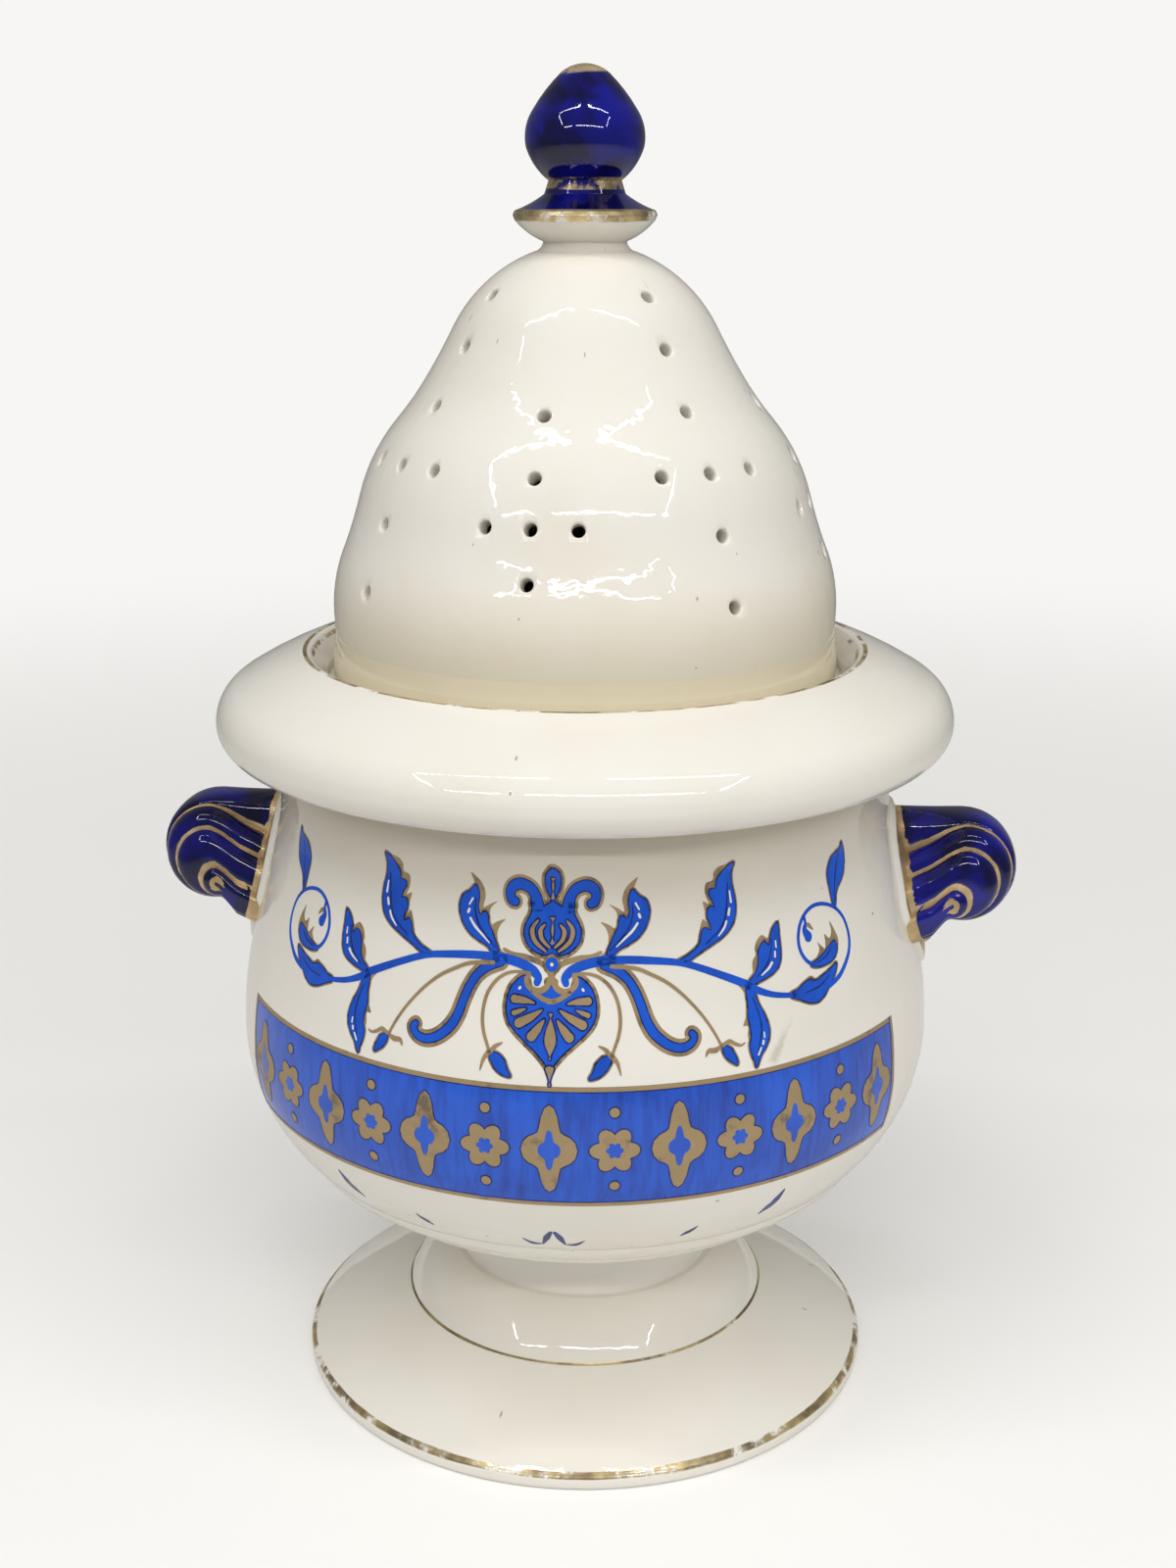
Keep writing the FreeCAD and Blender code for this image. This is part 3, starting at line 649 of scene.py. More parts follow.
def arc_points(start, through, end, step=math.radians(4)):
    """Points on the arc from start, through a point, to end, without the start."""
    ax, ay, bx, by, cx, cy = *start, *through, *end
    turn = 2 * (ax * (by - cy) + bx * (cy - ay) + cx * (ay - by))
    if abs(turn) < 1e-6:
        return [end]
    a2, b2, c2 = ax * ax + ay * ay, bx * bx + by * by, cx * cx + cy * cy
    mx = (a2 * (by - cy) + b2 * (cy - ay) + c2 * (ay - by)) / turn
    my = (a2 * (cx - bx) + b2 * (ax - cx) + c2 * (bx - ax)) / turn
    radius = math.hypot(ax - mx, ay - my)
    first, last = math.atan2(ay - my, ax - mx), math.atan2(cy - my, cx - mx)
    sweep = last - first
    if turn > 0 and sweep < 0:
        sweep += 2 * math.pi
    if turn < 0 and sweep > 0:
        sweep -= 2 * math.pi
    count = max(4, math.ceil(abs(sweep) / step))
    return [
        (mx + radius * math.cos(first + sweep * n / count), my + radius * math.sin(first + sweep * n / count))
        for n in range(1, count + 1)
    ]


def outline_mesh(name, outline):
    """An outline as a chain of edges in the XZ plane, with each corner's rounding as an attribute."""
    spots, rounds = [], []
    steps = iter(outline)
    for step in steps:
        if step == VIA:
            through, end = next(steps), next(steps)
            for spot in arc_points(spots[-1], through[:2], end[:2]):
                spots.append(spot)
                rounds.append(0)
            rounds[-1] = end[2] if len(end) > 2 else 0
        else:
            spots.append(step[:2])
            rounds.append(step[2] if len(step) > 2 else 0)
    closed = spots[0][0] > 0
    if closed and math.dist(spots[0], spots[-1]) < 1e-6:
        spots.pop()
        rounds.pop()
    edges = [(n, n + 1) for n in range(len(spots) - 1)]
    if closed:
        edges.append((len(spots) - 1, 0))
    places = [(out * MM, 0, up * MM) for out, up in spots]
    return marked_mesh(name, places, [], "rounding", [size * MM for size in rounds], edges)


def turning_tree():
    """Turns an outline about the Z axis, with its corners rounded."""
    name = "Turned Pottery"
    if name in bpy.data.node_groups:
        return bpy.data.node_groups[name]
    tree, given, out = new_tree(name, "GeometryNodeTree", {
        "Geometry": ("Geometry", None),
        "Sides": ("Int", 160),
        "Corner Steps": ("Int", 4),
        "Material": ("Material", None),
    }, {"Geometry": ("Geometry", None)})
    rounding = add(tree, "GeometryNodeInputNamedAttribute", {"Name": "rounding"}, data_type="FLOAT").outputs[0]
    chain = add(tree, "GeometryNodeMeshToCurve", {0: given["Geometry"]}).outputs[0]
    softened = add(tree, "GeometryNodeFilletCurve", {
        "Curve": chain, "Count": given["Corner Steps"], "Radius": rounding, "Limit Radius": True}, mode="POLY")
    ring = add(tree, "GeometryNodeCurvePrimitiveCircle", {"Resolution": given["Sides"], "Radius": 1.0}).outputs[0]
    place = add(tree, "GeometryNodeInputPosition").outputs[0]
    kept = []
    for label, curve in (("side", ring), ("spot", softened.outputs[0])):
        capture = add(tree, "GeometryNodeCaptureAttribute", {0: curve})
        capture.capture_items.new("VECTOR", label)
        tree.links.new(place, capture.inputs[1])
        kept.append(capture.outputs)
    swept = add(tree, "GeometryNodeCurveToMesh", {"Curve": kept[0][0], "Profile Curve": kept[1][0]}).outputs[0]
    spot = parts(tree, kept[1][1])
    outwards = scaled(tree, kept[0][1], spot[0])
    upwards = vector(tree, z=spot[2])
    moved = add(tree, "GeometryNodeSetPosition", {0: swept, "Position": point_sum(tree, "ADD", outwards, upwards)})
    joined = add(tree, "GeometryNodeMergeByDistance", {0: moved.outputs[0], "Distance": 1e-6}).outputs[0]
    end_tree(tree, out, joined, given["Material"])
    return tree


def turn_piece(name, outline, material, sides=None):
    """A piece of turned pottery, made from its outline."""
    thing = new_object(name, outline_mesh(name, outline))
    sizes = bpy.context.scene.jar_sizes
    grow(thing, turning_tree(), {"Sides": sides or sizes.sides, "Corner Steps": sizes.corner_steps,
                                 "Material": material})
    return face_out(thing)


def settle(thing, body, slot, *nodes):
    """Parents a finished piece to its body's empty and hides the solids' nodes that it replaces."""
    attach(thing, body)
    if nodes:
        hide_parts(*nodes)


def turn_nodes(body, *pieces):
    """Turned pieces that replace the solids' nodes: node, outline, material, slot and, where it matters, sides."""
    for node, outline, material, slot, *sides in pieces:
        settle(turn_piece(node + "_glazed", outline, material, *sides), body, slot, node)


def pierce_tree():
    """Cuts a hole at each point of a mesh, along the point's own direction."""
    name = "Air Holes"
    if name in bpy.data.node_groups:
        return bpy.data.node_groups[name]
    tree, given, out = new_tree(name, "GeometryNodeTree", {
        "Geometry": ("Geometry", None),
        "Holes": ("Object", None),
        "Cut": ("Object", None),
        "Material": ("Material", None),
    }, {"Geometry": ("Geometry", None)})
    spots = shape_of(tree, given["Holes"])
    cut = shape_of(tree, given["Cut"])
    away = add(tree, "GeometryNodeInputNamedAttribute", {"Name": "away"}, data_type="FLOAT_VECTOR").outputs[0]
    leaning = add(tree, "FunctionNodeAlignRotationToVector", {"Vector": away}, axis="Z").outputs[0]
    placed = add(tree, "GeometryNodeInstanceOnPoints", {"Points": spots, "Instance": cut, "Rotation": leaning})
    real = add(tree, "GeometryNodeRealizeInstances", {0: placed.outputs[0]}).outputs[0]
    pierced = add(tree, "GeometryNodeMeshBoolean", {"Mesh 1": given["Geometry"], "Mesh 2": real},
                  operation="DIFFERENCE", solver="EXACT").outputs[0]
    end_tree(tree, out, pierced, given["Material"])
    return tree


def hole_points():
    """The middle of each air hole on the cover, and the way that it points."""
    spots, ways = [], []
    for rows, turn, arm_row, arm in CROSSES:
        marks = [(row, turn) for row in rows] + [(rows[arm_row], turn + arm), (rows[arm_row], turn - arm)]
        for (up, out, lean), angle in marks:
            for quarter in range(CROSS_REPEATS):
                around = math.radians(angle + 360 / CROSS_REPEATS * quarter)
                side = Vector((math.cos(around), math.sin(around), 0))
                spots.append(side * out * MM + Vector((0, 0, up * MM)))
                ways.append(side * math.cos(math.radians(lean)) + Vector((0, 0, math.sin(math.radians(lean)))))
    flat_ways = [part for way in ways for part in way]
    mesh = marked_mesh("air_hole_points", spots, [], "away", flat_ways, kind="FLOAT_VECTOR")
    return new_object("air_hole_points", mesh)


# ---------------------------------------------------------------- handles


def bowl_side(up):
    """The bowl's radius at a height, in millimetres."""
    for (low, first), (high, second) in zip(BOWL_RUN, BOWL_RUN[1:]):
        if up <= high:
            part = max(0.0, (up - low) / (high - low))
            return first + (second - first) * part
    return BOWL_RUN[-1][1]


def whorl_at(level):
    """The sizes of the whorl at a level that may lie between two."""
    step = min(int(level), len(WHORLS) - 2)
    part = level - step
    return [first + (second - first) * part for first, second in zip(WHORLS[step], WHORLS[step + 1])]


def whorl_outline(level):
    """Points round one whorl, from its upper root over the curl to its lower root, evenly spaced."""
    out, up, radius, _, high, low = whorl_at(level)
    root, crest = bowl_side(high) + 2, up + radius
    spots = [(WHORL_START, high), (root, high), (root + (out - root) * 0.38, high + (crest - high) * 0.74)]
    for step in range(-1, 22):
        angle = math.radians(90 - 10 * step)
        spots.append((out + radius * math.cos(angle), up + radius * math.sin(angle)))
    spots += [(bowl_side(low) + 4.6, low + (up - radius - low) * 0.55), (bowl_side(low) + 3.9, low), (WHORL_START, low)]
    for _ in range(2):
        spots = [spots[0]] + [
            ((a[0] + 2 * b[0] + c[0]) / 4, (a[1] + 2 * b[1] + c[1]) / 4)
            for a, b, c in zip(spots, spots[1:], spots[2:])
        ] + [spots[-1]]
    lengths = [0]
    for first, second in zip(spots, spots[1:]):
        lengths.append(lengths[-1] + math.dist(first, second))
    even = []
    step = 0
    for number in range(WHORL_ROUND + 1):
        reach = lengths[-1] * number / WHORL_ROUND
        while step < len(spots) - 2 and lengths[step + 1] < reach:
            step += 1
        part = (reach - lengths[step]) / (lengths[step + 1] - lengths[step])
        even.append([a + (b - a) * part for a, b in zip(spots[step], spots[step + 1])])
    return even


def whorl_stations():
    """Across half a handle, from its middle to its eye: the place, the level and how near a groove it is."""
    stations = []
    inner = 0
    for number, whorl in enumerate(WHORLS[:-1]):
        half = whorl[3]
        for step in range(WHORL_ACROSS):
            part = math.sin(math.pi / 2 * step / WHORL_ACROSS)
            fall = (1 - part ** WHORL_SQUARE) ** (1 / WHORL_SQUARE)
            stations.append((inner + (half - inner) * part, number + 1 - fall))
        inner = half
    stations.append((inner, len(WHORLS) - 1.001))
    return stations


def on_stalk(out, up, level):
    """Whether a point is under the curl, where the lug's stalk runs down the bowl."""
    curl_out, curl_up, radius = whorl_at(level)[:3]
    return out < curl_out and up < curl_up - radius / 2


def scroll_mesh(name, side):
    """One scroll lug: whorls that grow smaller towards each end, gilded in the grooves between them."""
    half = whorl_stations()
    stations = [(-across, level) for across, level in reversed(half[1:])] + half
    grooves = [whorl[3] for whorl in WHORLS[:-2]]
    verts, gilding = [], []
    for across, level in stations:
        near = min(math.hypot(abs(across) - groove, (number + 1 - level) * WHORL_STEP)
                   for number, groove in enumerate(grooves))
        for number, (out, up) in enumerate(whorl_outline(level)):
            deepest = math.sqrt(max((bowl_side(up) - 3) ** 2 - across ** 2, 0))
            x = max(out, deepest)
            verts.append((side * x * MM, side * across * MM, up * MM))
            off_bowl = math.hypot(x, across) - bowl_side(up)
            line = 0.0 if on_stalk(out, up, level) else max(0.0, 1 - near / GROOVE_GOLD)
            root = max(0.0, 1 - max(0.0, off_bowl - ROOT_GOLD_FROM) / ROOT_GOLD_WIDE)
            eye = 1.0 if EYE_LEVEL < level < EYE_END and math.dist((out, up), WHORLS[-1][:2]) < EYE_GOLD else 0.0
            gilding.append(max(line, root, eye))
    row = WHORL_ROUND + 1
    last = (len(stations) - 1) * row
    corners = [a + n for a in range(0, last, row) for n in range(WHORL_ROUND)]
    faces = [(corner, corner + 1, corner + row + 1, corner + row) for corner in corners]
    faces += [(a + WHORL_ROUND, a, a + row, a + row + WHORL_ROUND) for a in range(0, last, row)]
    middle = WHORL_ROUND // 2
    for start in (0, last):
        faces += [(start + n, start + n + 1, start + row - 2 - n, start + row - 1 - n) for n in range(middle - 1)]
        faces.append((start + middle - 1, start + middle, start + middle + 1))
    return face_out(new_object(name, marked_mesh(name, verts, faces, "gilding", gilding)))


LEAF_EDGE = [
    (0, 207), (8, 206.3), (14, 203.5), (18, 199), (21, 193.5), (23.5, 187.5), (25.5, 181), (26.8, 174), (25, 167.5),
    (21, 161.5), (16, 156), (9, 150.5), (0, 146.5),
]
LEAF_MIDDLE = (0, 178)
# Rings of the leaf's mesh, its swell, how far its edge sinks into the bowl and how deep its back lies.
LEAF_OUT = 14
LEAF_THICK, LEAF_SUNK, LEAF_BACK = 3.0, 1.2, 4


def smooth_run(points, closed=False, step=1.0):
    """A smooth curve through the points, at steps of about one length."""
    count = len(points)
    found = []
    for number in range(count if closed else count - 1):
        if closed:
            a, b, c, d = (points[(number + shift) % count] for shift in (-1, 0, 1, 2))
        else:
            a, b, c, d = (points[min(max(number + shift, 0), count - 1)] for shift in (-1, 0, 1, 2))
        pieces = max(2, math.ceil(math.dist(b, c) / step))
        for piece in range(pieces):
            t = piece / pieces
            found.append(tuple(
                0.5 * (2 * q + (r - p) * t + (2 * p - 5 * q + 4 * r - s) * t * t + (3 * q - p - 3 * r + s) * t ** 3)
                for p, q, r, s in zip(a, b, c, d)))
    if not closed:
        found.append(tuple(points[-1]))
    return found


def leaf_mesh(name, side):
    """The clay leaf on the bowl: lobed, swelling from a thin edge, gilded in its middle."""
    right = smooth_run(LEAF_EDGE, step=2)
    edge = right + [(-across, up) for across, up in reversed(right[1:-1])]
    middle = LEAF_MIDDLE
    verts, gilding, faces = [], [], []
    for ring in range(LEAF_OUT + 1):
        part = ring / LEAF_OUT
        for across, up in edge:
            y, z = middle[0] + (across - middle[0]) * part, middle[1] + (up - middle[1]) * part
            thick = LEAF_THICK * math.sqrt(max(0.0, 1 - part ** 3)) if ring < LEAF_OUT else -LEAF_SUNK
            out = bowl_side(z) + thick
            verts.append((side * math.sqrt(out * out - y * y) * MM, side * y * MM, z * MM))
            gilding.append(min(1.0, max(0.0, (0.93 - part) * 9)))
    for across, up in edge:
        out = bowl_side(up) - LEAF_BACK
        verts.append((side * math.sqrt(out * out - across * across) * MM, side * across * MM, up * MM))
        gilding.append(0.0)
    row = len(edge)
    for ring in range(LEAF_OUT + 1):
        for n in range(row):
            m = (n + 1) % row
            faces.append((ring * row + n, ring * row + m, (ring + 1) * row + m, (ring + 1) * row + n))
    verts.append((side * (bowl_side(middle[1]) - LEAF_BACK) * MM, 0, middle[1] * MM))
    gilding.append(0.0)
    base = (LEAF_OUT + 1) * row
    faces += [(base + (n + 1) % row, base + n, len(verts) - 1) for n in range(row)]
    return face_out(new_object(name, marked_mesh(name, verts, faces, "gilding", gilding)))


# ---------------------------------------------------------------- ornament


def camera_place():
    """Where the photograph's camera stands and how it is turned."""
    place = Vector((CAMERA_AWAY * math.sin(CAMERA_TURN), -CAMERA_AWAY * math.cos(CAMERA_TURN), CAMERA_UP))
    turn = Matrix.Rotation(CAMERA_TURN, 3, "Z") @ Matrix.Rotation(math.pi / 2 - CAMERA_PITCH, 3, "X")
    return place, turn


class Paper:
    """The ornament laid out flat: across is the way round the bowl, up is the height, both in metres."""

    def __init__(self, bowl):
        bm = bmesh.new()
        bm.from_mesh(bowl.data)
        self.tree = BVHTree.FromBMesh(bm)
        bm.free()
        self.place, self.turn = camera_place()

    def flat(self, pixel):
        """The place on the paper of a pixel of the photograph."""
        ray = Vector(((pixel[0] - AXIS_PIXEL) / FOCAL_PIXELS, (PHOTO_HIGH / 2 - pixel[1]) / FOCAL_PIXELS, -1))
        hit = self.tree.ray_cast(self.place, (self.turn @ ray).normalized())[0]
        if hit is None:
            raise RuntimeError(f"pixel {pixel} is off the bowl")
        return math.atan2(hit.x, -hit.y) * FLAT_RADIUS, hit.z


END_STEPS = 6


def stroke_outline(path, widths):
    """The outline of a stroke along a path, with its width running from one value to the next."""
    count = len(path)
    left, right = [], []
    for number, spot in enumerate(path):
        before, after = path[max(number - 1, 0)], path[min(number + 1, count - 1)]
        along = Vector((after[0] - before[0], after[1] - before[1])).normalized()
        reach = number / (count - 1) * (len(widths) - 1)
        step = min(int(reach), len(widths) - 2)
        half = (widths[step] + (widths[step + 1] - widths[step]) * (reach - step)) / 2
        left.append((spot[0] - along.y * half, spot[1] + along.x * half))
        right.append((spot[0] + along.y * half, spot[1] - along.x * half))
    ends = []
    for spot, edge in ((path[-1], left[-1]), (path[0], right[0])):
        start = math.atan2(edge[1] - spot[1], edge[0] - spot[0])
        radius = math.dist(edge, spot)
        turns = [start - math.pi * n / END_STEPS for n in range(1, END_STEPS)]
        ends.append([(spot[0] + radius * math.cos(turn), spot[1] + radius * math.sin(turn)) for turn in turns])
    return left + ends[0] + right[::-1] + ends[1]


# A pixel of the photograph on the front of the bowl.
PIXEL = 0.36 * MM
# How finely a curve of the ornament is cut, in pixels, and how much narrower its pale gaps are drawn.
CURVE_STEP = 1.6
PALE_WIDTH = 0.72
# Widths of the drawn lines and of the gold round a shape, in pixels: leaves, the middle's shapes and those in them.
LEAF_LINE, MIDDLE_LINE, INNER_LINE = 2.2, 2.8, 3
LEAF_GOLD, MIDDLE_GOLD = 4.8, 8
# Points of a long line that one stroke takes, and the sides of the bead.
LINE_RUN = 6
BEAD_SIDES = 24
# Where the paper is cut so that it can bend: the way across the cuts, their first and last place, and their step.
PAPER_CUTS = ((Vector((1, 0, 0)), -0.16, 0.16, 0.0022), (Vector((0, 1, 0)), 0.08, 0.23, 0.003))
# The underside of every printed layer, in metres, is just inside the glaze.
PRINT_UNDERSIDE = -0.00015
# Where the rays that find the bowl start, in metres from the axis.
RAY_START = 0.3


class Layer:
    """Flat shapes of one colour, which become one thin closed piece."""

    def __init__(self, lift):
        self.lift = lift * MM
        self.shapes = []

    def fill(self, outline):
        """A filled shape."""
        self.shapes.append(outline)

    def line(self, outline, width, closed=True):
        """A line of even width along a run of points."""
        path = list(outline) + [outline[0]] if closed else list(outline)
        for start in range(0, len(path) - 1, LINE_RUN):
            part = path[start:start + LINE_RUN + 1]
            if len(part) > 1:
                self.shapes.append(stroke_outline(part, [width, width]))

    def build(self, name):
        """The shapes as thin prisms on the paper, cut finely enough to bend round the bowl."""
        bm = bmesh.new()
        for outline in self.shapes:
            spots = [Vector((x, y, 0)) for x, y in outline]
            verts = [bm.verts.new(spot) for spot in spots]
            for triple in geometry.tessellate_polygon([spots]):
                if len(set(triple)) == 3:
                    try:
                        bm.faces.new([verts[n] for n in triple])
                    except ValueError:
                        continue
        for loose in [vert for vert in bm.verts if not vert.link_faces]:
            bm.verts.remove(loose)
        for normal, low, high, step in PAPER_CUTS:
            for number in range(math.ceil((high - low) / step)):
                everything = bm.verts[:] + bm.edges[:] + bm.faces[:]
                bmesh.ops.bisect_plane(bm, geom=everything, plane_co=normal * (low + step * number), plane_no=normal,
                                       dist=SAME_PLACE)
        for face in bm.faces:
            if face.normal.z < 0:
                face.normal_flip()
        top = list(bm.faces)
        for vert in bm.verts:
            vert.co.z = self.lift
        made = bmesh.ops.extrude_face_region(bm, geom=top)
        for vert in {item for item in made["geom"] if isinstance(item, bmesh.types.BMVert)}:
            vert.co.z = PRINT_UNDERSIDE
        mesh = bpy.data.meshes.new(name)
        bm.to_mesh(mesh)
        bm.free()
        return new_object(name, mesh)


def wrap_tree():
    """Bends flat pieces round the bowl, and keeps their height above it."""
    name = "Wrap Round Bowl"
    if name in bpy.data.node_groups:
        return bpy.data.node_groups[name]
    tree, given, out = new_tree(name, "GeometryNodeTree", {
        "Geometry": ("Geometry", None),
        "Bowl": ("Object", None),
        "Flat Radius": ("Float", FLAT_RADIUS),
        "Material": ("Material", None),
    }, {"Geometry": ("Geometry", None)})
    wrapped = wrap_nodes(tree, given["Geometry"], given["Bowl"], given["Flat Radius"])
    end_tree(tree, out, wrapped, given["Material"])
    return tree


def wrap_nodes(tree, pieces, bowl, radius):
    """The part of a tree that finds each point's place on the bowl by a ray towards the axis."""
    target = shape_of(tree, bowl)
    spot = parts(tree, add(tree, "GeometryNodeInputPosition").outputs[0])
    angle = calc(tree, "DIVIDE", spot[0], radius)
    back = calc(tree, "MULTIPLY", calc(tree, "COSINE", angle), -1.0)
    away = vector(tree, calc(tree, "SINE", angle), back)
    level = vector(tree, z=spot[1])
    start = point_sum(tree, "ADD", point_sum(tree, "MULTIPLY", away, (RAY_START,) * 3), level)
    inwards = point_sum(tree, "MULTIPLY", away, (-1.0, -1.0, -1.0))
    ray = add(tree, "GeometryNodeRaycast", {"Target Geometry": target, "Source Position": start,
                                            "Ray Direction": inwards, "Ray Length": 1.0})
    lifted = scaled(tree, away, spot[2])
    there = point_sum(tree, "ADD", ray.outputs["Hit Position"], lifted)
    return add(tree, "GeometryNodeSetPosition", {0: pieces, "Position": there}).outputs[0]


# Shapes of the ornament's right half, in pixels of the photograph. The left half mirrors them.
# Leaves: the blue outline from its tip round to its tip.
LEAVES = [
    [(646, 908), (652, 914), (659, 919), (662, 928), (661, 938), (657, 948), (650, 957), (640, 964), (631, 969),
     (622, 978), (620, 972), (624, 962), (627, 954), (631, 946), (632, 939), (635, 934.5), (640, 938), (643, 930),
     (642, 920), (643, 912)],
    [(748, 880), (745.5, 890), (746, 902), (749, 915), (750, 928), (748, 940), (743, 949), (735, 957), (724, 965),
     (712, 973), (700, 982), (692, 981), (702, 975), (711, 967), (715, 960), (716, 952), (719, 947), (725, 949.5),
     (725, 943), (722, 936), (722, 929), (725.5, 925), (729, 926), (727, 919), (723.5, 912), (725, 907.5),
     (730.5, 906), (731, 899), (735, 892), (741, 885)],
    [(793, 942), (794.5, 955), (796, 970), (795.5, 981), (792, 989), (784, 996), (775, 1001), (766, 1005),
     (765, 1001), (771, 993), (774, 984), (774, 972), (776, 965), (779.5, 961), (784.5, 965), (786, 956),
     (788, 948)],
    [(772, 1088), (770, 1082), (767, 1075), (765.5, 1066), (767, 1058), (766, 1048), (763.5, 1038), (763.5, 1026),
     (762, 1014), (762, 1006), (768, 1010), (774, 1025), (780, 1036), (784, 1048), (784, 1060), (780, 1070),
     (776, 1077)],
    [(853, 983), (852, 991), (849, 999), (845, 1007), (841, 1015), (835, 1021), (827, 1022.5), (818, 1020),
     (808, 1017), (807, 1014), (814, 1010), (820, 1004), (826, 1000), (832, 1001), (838, 997), (845, 991)],
    [(858, 859), (860, 868), (860.5, 878), (860, 888), (858, 896), (854.5, 904), (852.5, 912), (852, 922),
     (850, 922), (848, 914), (846, 904), (844, 893), (845, 884), (848, 875), (853, 869), (856.5, 865)],
    [(851, 960), (853.5, 966), (852.5, 973), (849, 979), (842, 983.5), (833, 986), (828, 984), (836, 978),
     (842, 971), (846, 965)],
]
# Gold edges of the leaves, with their points standing out on one side.
GOLD_EDGES = [
    [(651, 895), (647, 905), (643.5, 913), (642.5, 925), (640, 936), (635, 935), (632, 944), (628, 955), (622, 970),
     (612, 978), (619, 968), (621, 956), (618, 947), (613, 941), (622, 944), (628, 947), (630, 936), (628, 929),
     (622, 923), (631, 927), (637, 930), (635, 918), (638, 907), (644, 900)],
    [(750, 878), (744, 885), (736, 893), (732, 900), (731, 906), (725, 908), (725, 914), (729, 924), (725, 927),
     (722, 931), (723, 938), (726, 948), (719, 948), (716.5, 954), (715, 962), (704, 975), (690, 981), (702, 972),
     (710.5, 964), (713, 952), (717, 938), (721, 941), (719.5, 931), (717, 920), (723, 922), (720, 914), (719, 908),
     (720.5, 901), (727, 898), (728, 890), (733, 884.5), (740, 882)],
    [(795, 938), (792, 946), (788, 955), (785, 966), (779.5, 961), (775, 967), (774.5, 978), (773, 989),
     (766, 1001),
     (768, 992), (767.5, 985), (768.5, 979), (771, 974), (770, 968), (772, 960), (777, 954), (783, 957), (785, 951),
     (789, 944)],
    [(772.5, 1089), (767, 1080), (764, 1072), (764, 1063), (763, 1056), (763.5, 1047), (758.5, 1047), (760.5, 1040),
     (762.5, 1033), (762, 1022), (758, 1011), (750, 1002), (759, 1005), (763, 1014), (764, 1030), (766, 1046),
     (768, 1058), (766, 1067), (768.5, 1077)],
    [(854, 980), (852, 991), (846, 995), (838, 999), (832, 1001), (826, 1000.5), (818, 1006), (823, 998),
     (828, 995.5), (833, 999), (838, 994), (845, 988), (850, 984)],
    [(845, 1007), (842, 1015), (836, 1023), (827, 1025.5), (815, 1021), (827, 1022), (835, 1019), (840, 1012)],
    [(860, 873), (862.5, 879), (860.5, 884), (861.5, 890), (858.5, 898), (854, 905), (857, 895), (857.5, 884)],
    [(846, 940), (851, 948), (855, 958), (855, 968), (852, 977), (845, 984), (833, 988), (824, 983), (830, 982),
     (834, 975), (836, 968), (834, 961.5), (839, 966), (842, 968), (842, 960), (841, 953), (846, 957), (848, 950)],
]
# Blue stems: path and widths.
STEMS = [
    ([(577.5, 1003.5), (576.5, 998), (582, 991.5), (590, 987), (600, 983.5), (612, 981),
      (625, 979.5)], [6, 8, 8, 8, 9]),
    ([(612, 981), (630, 979.5), (650, 979.5), (672, 980.5), (692, 982), (706, 985), (725, 991), (745, 998),
      (764, 1005)],
     [6.5, 6.5, 5.5, 6, 7]),
    ([(764, 1006), (775, 1011), (788, 1014.5), (800, 1015.5), (811, 1015)], [7, 5, 4]),
    ([(847, 1005), (856, 996), (862, 984), (866, 970), (866, 955), (862, 940), (856, 930), (848, 924), (838, 922),
      (828, 925), (820, 934), (815.5, 946), (814.5, 960), (817.5, 972), (824, 981),
      (832, 985)], [4.5, 3.2, 3.2, 3.5]),
    ([(852, 926), (851.5, 918), (851, 910)], [3.5, 2.5]),
    ([(820, 935), (821.5, 942), (821, 949), (824.5, 955.5)], [3, 3, 6, 9.5]),
]
# Stems with gold along both sides.
EDGED_STEMS = [
    ([(616, 984), (630, 990.5), (641, 1000), (649, 1013), (655, 1028), (660, 1042), (668, 1055), (680, 1065),
      (691, 1069),
      (700, 1068), (706, 1063.5), (708.5, 1057.5), (706, 1054.5)], [7, 6, 6.5, 7, 6, 5], 4.2),
    ([(580, 926), (581.5, 917), (586, 909), (592, 905), (599, 903.5), (606, 907), (608.5, 913), (607, 920),
      (603, 922)],
     [10.5, 8, 8, 8.5, 7.5, 6.5], 3.6),
]
# Gold lines: path and widths.
GOLD_LINES = [
    ([(585, 994), (598, 993.5), (610, 996.5), (620, 1004), (628, 1016), (632, 1030), (633, 1045), (631, 1058),
      (627, 1070), (624.5, 1077)], [2, 3, 3, 2.6]),
    ([(624, 986), (640, 987), (652, 989), (664, 994), (680, 1002), (694, 1012.5), (706, 1024), (717, 1036.5),
      (726, 1049), (732, 1059), (736, 1067)], [3.5, 3, 2.6, 2.4]),
    ([(624, 1078), (618, 1071.5), (611, 1067.5)], [4, 3.5, 1]),
    ([(625, 1078), (630, 1085), (632, 1091), (633.5, 1097)], [4.5, 3, 1]),
    ([(737, 1067), (744, 1062.5), (750, 1065), (756, 1066.5), (760, 1064)], [2.5, 3.6, 3, 1]),
    ([(735.5, 1068), (730, 1071.5), (723, 1072.5), (720.5, 1078)], [2.5, 4.5, 4, 1]),
    ([(564, 997), (566, 1005), (572, 1011), (580, 1011.5), (587, 1006), (588.5, 999.5),
      (585, 996.5)], [4, 5, 5, 4.5, 3]),
    ([(559.5, 1022), (570, 1020), (581, 1013)], [4, 4, 4]),
]
BUDS = [
    [(623, 1078), (615, 1079.5), (608.5, 1086), (605.5, 1094), (602, 1101.5), (612, 1098.5), (619, 1092),
     (623, 1084)],
    [(738, 1067), (745, 1069.5), (749.5, 1076), (752.5, 1085.5), (744, 1081.5), (739, 1075)],
]
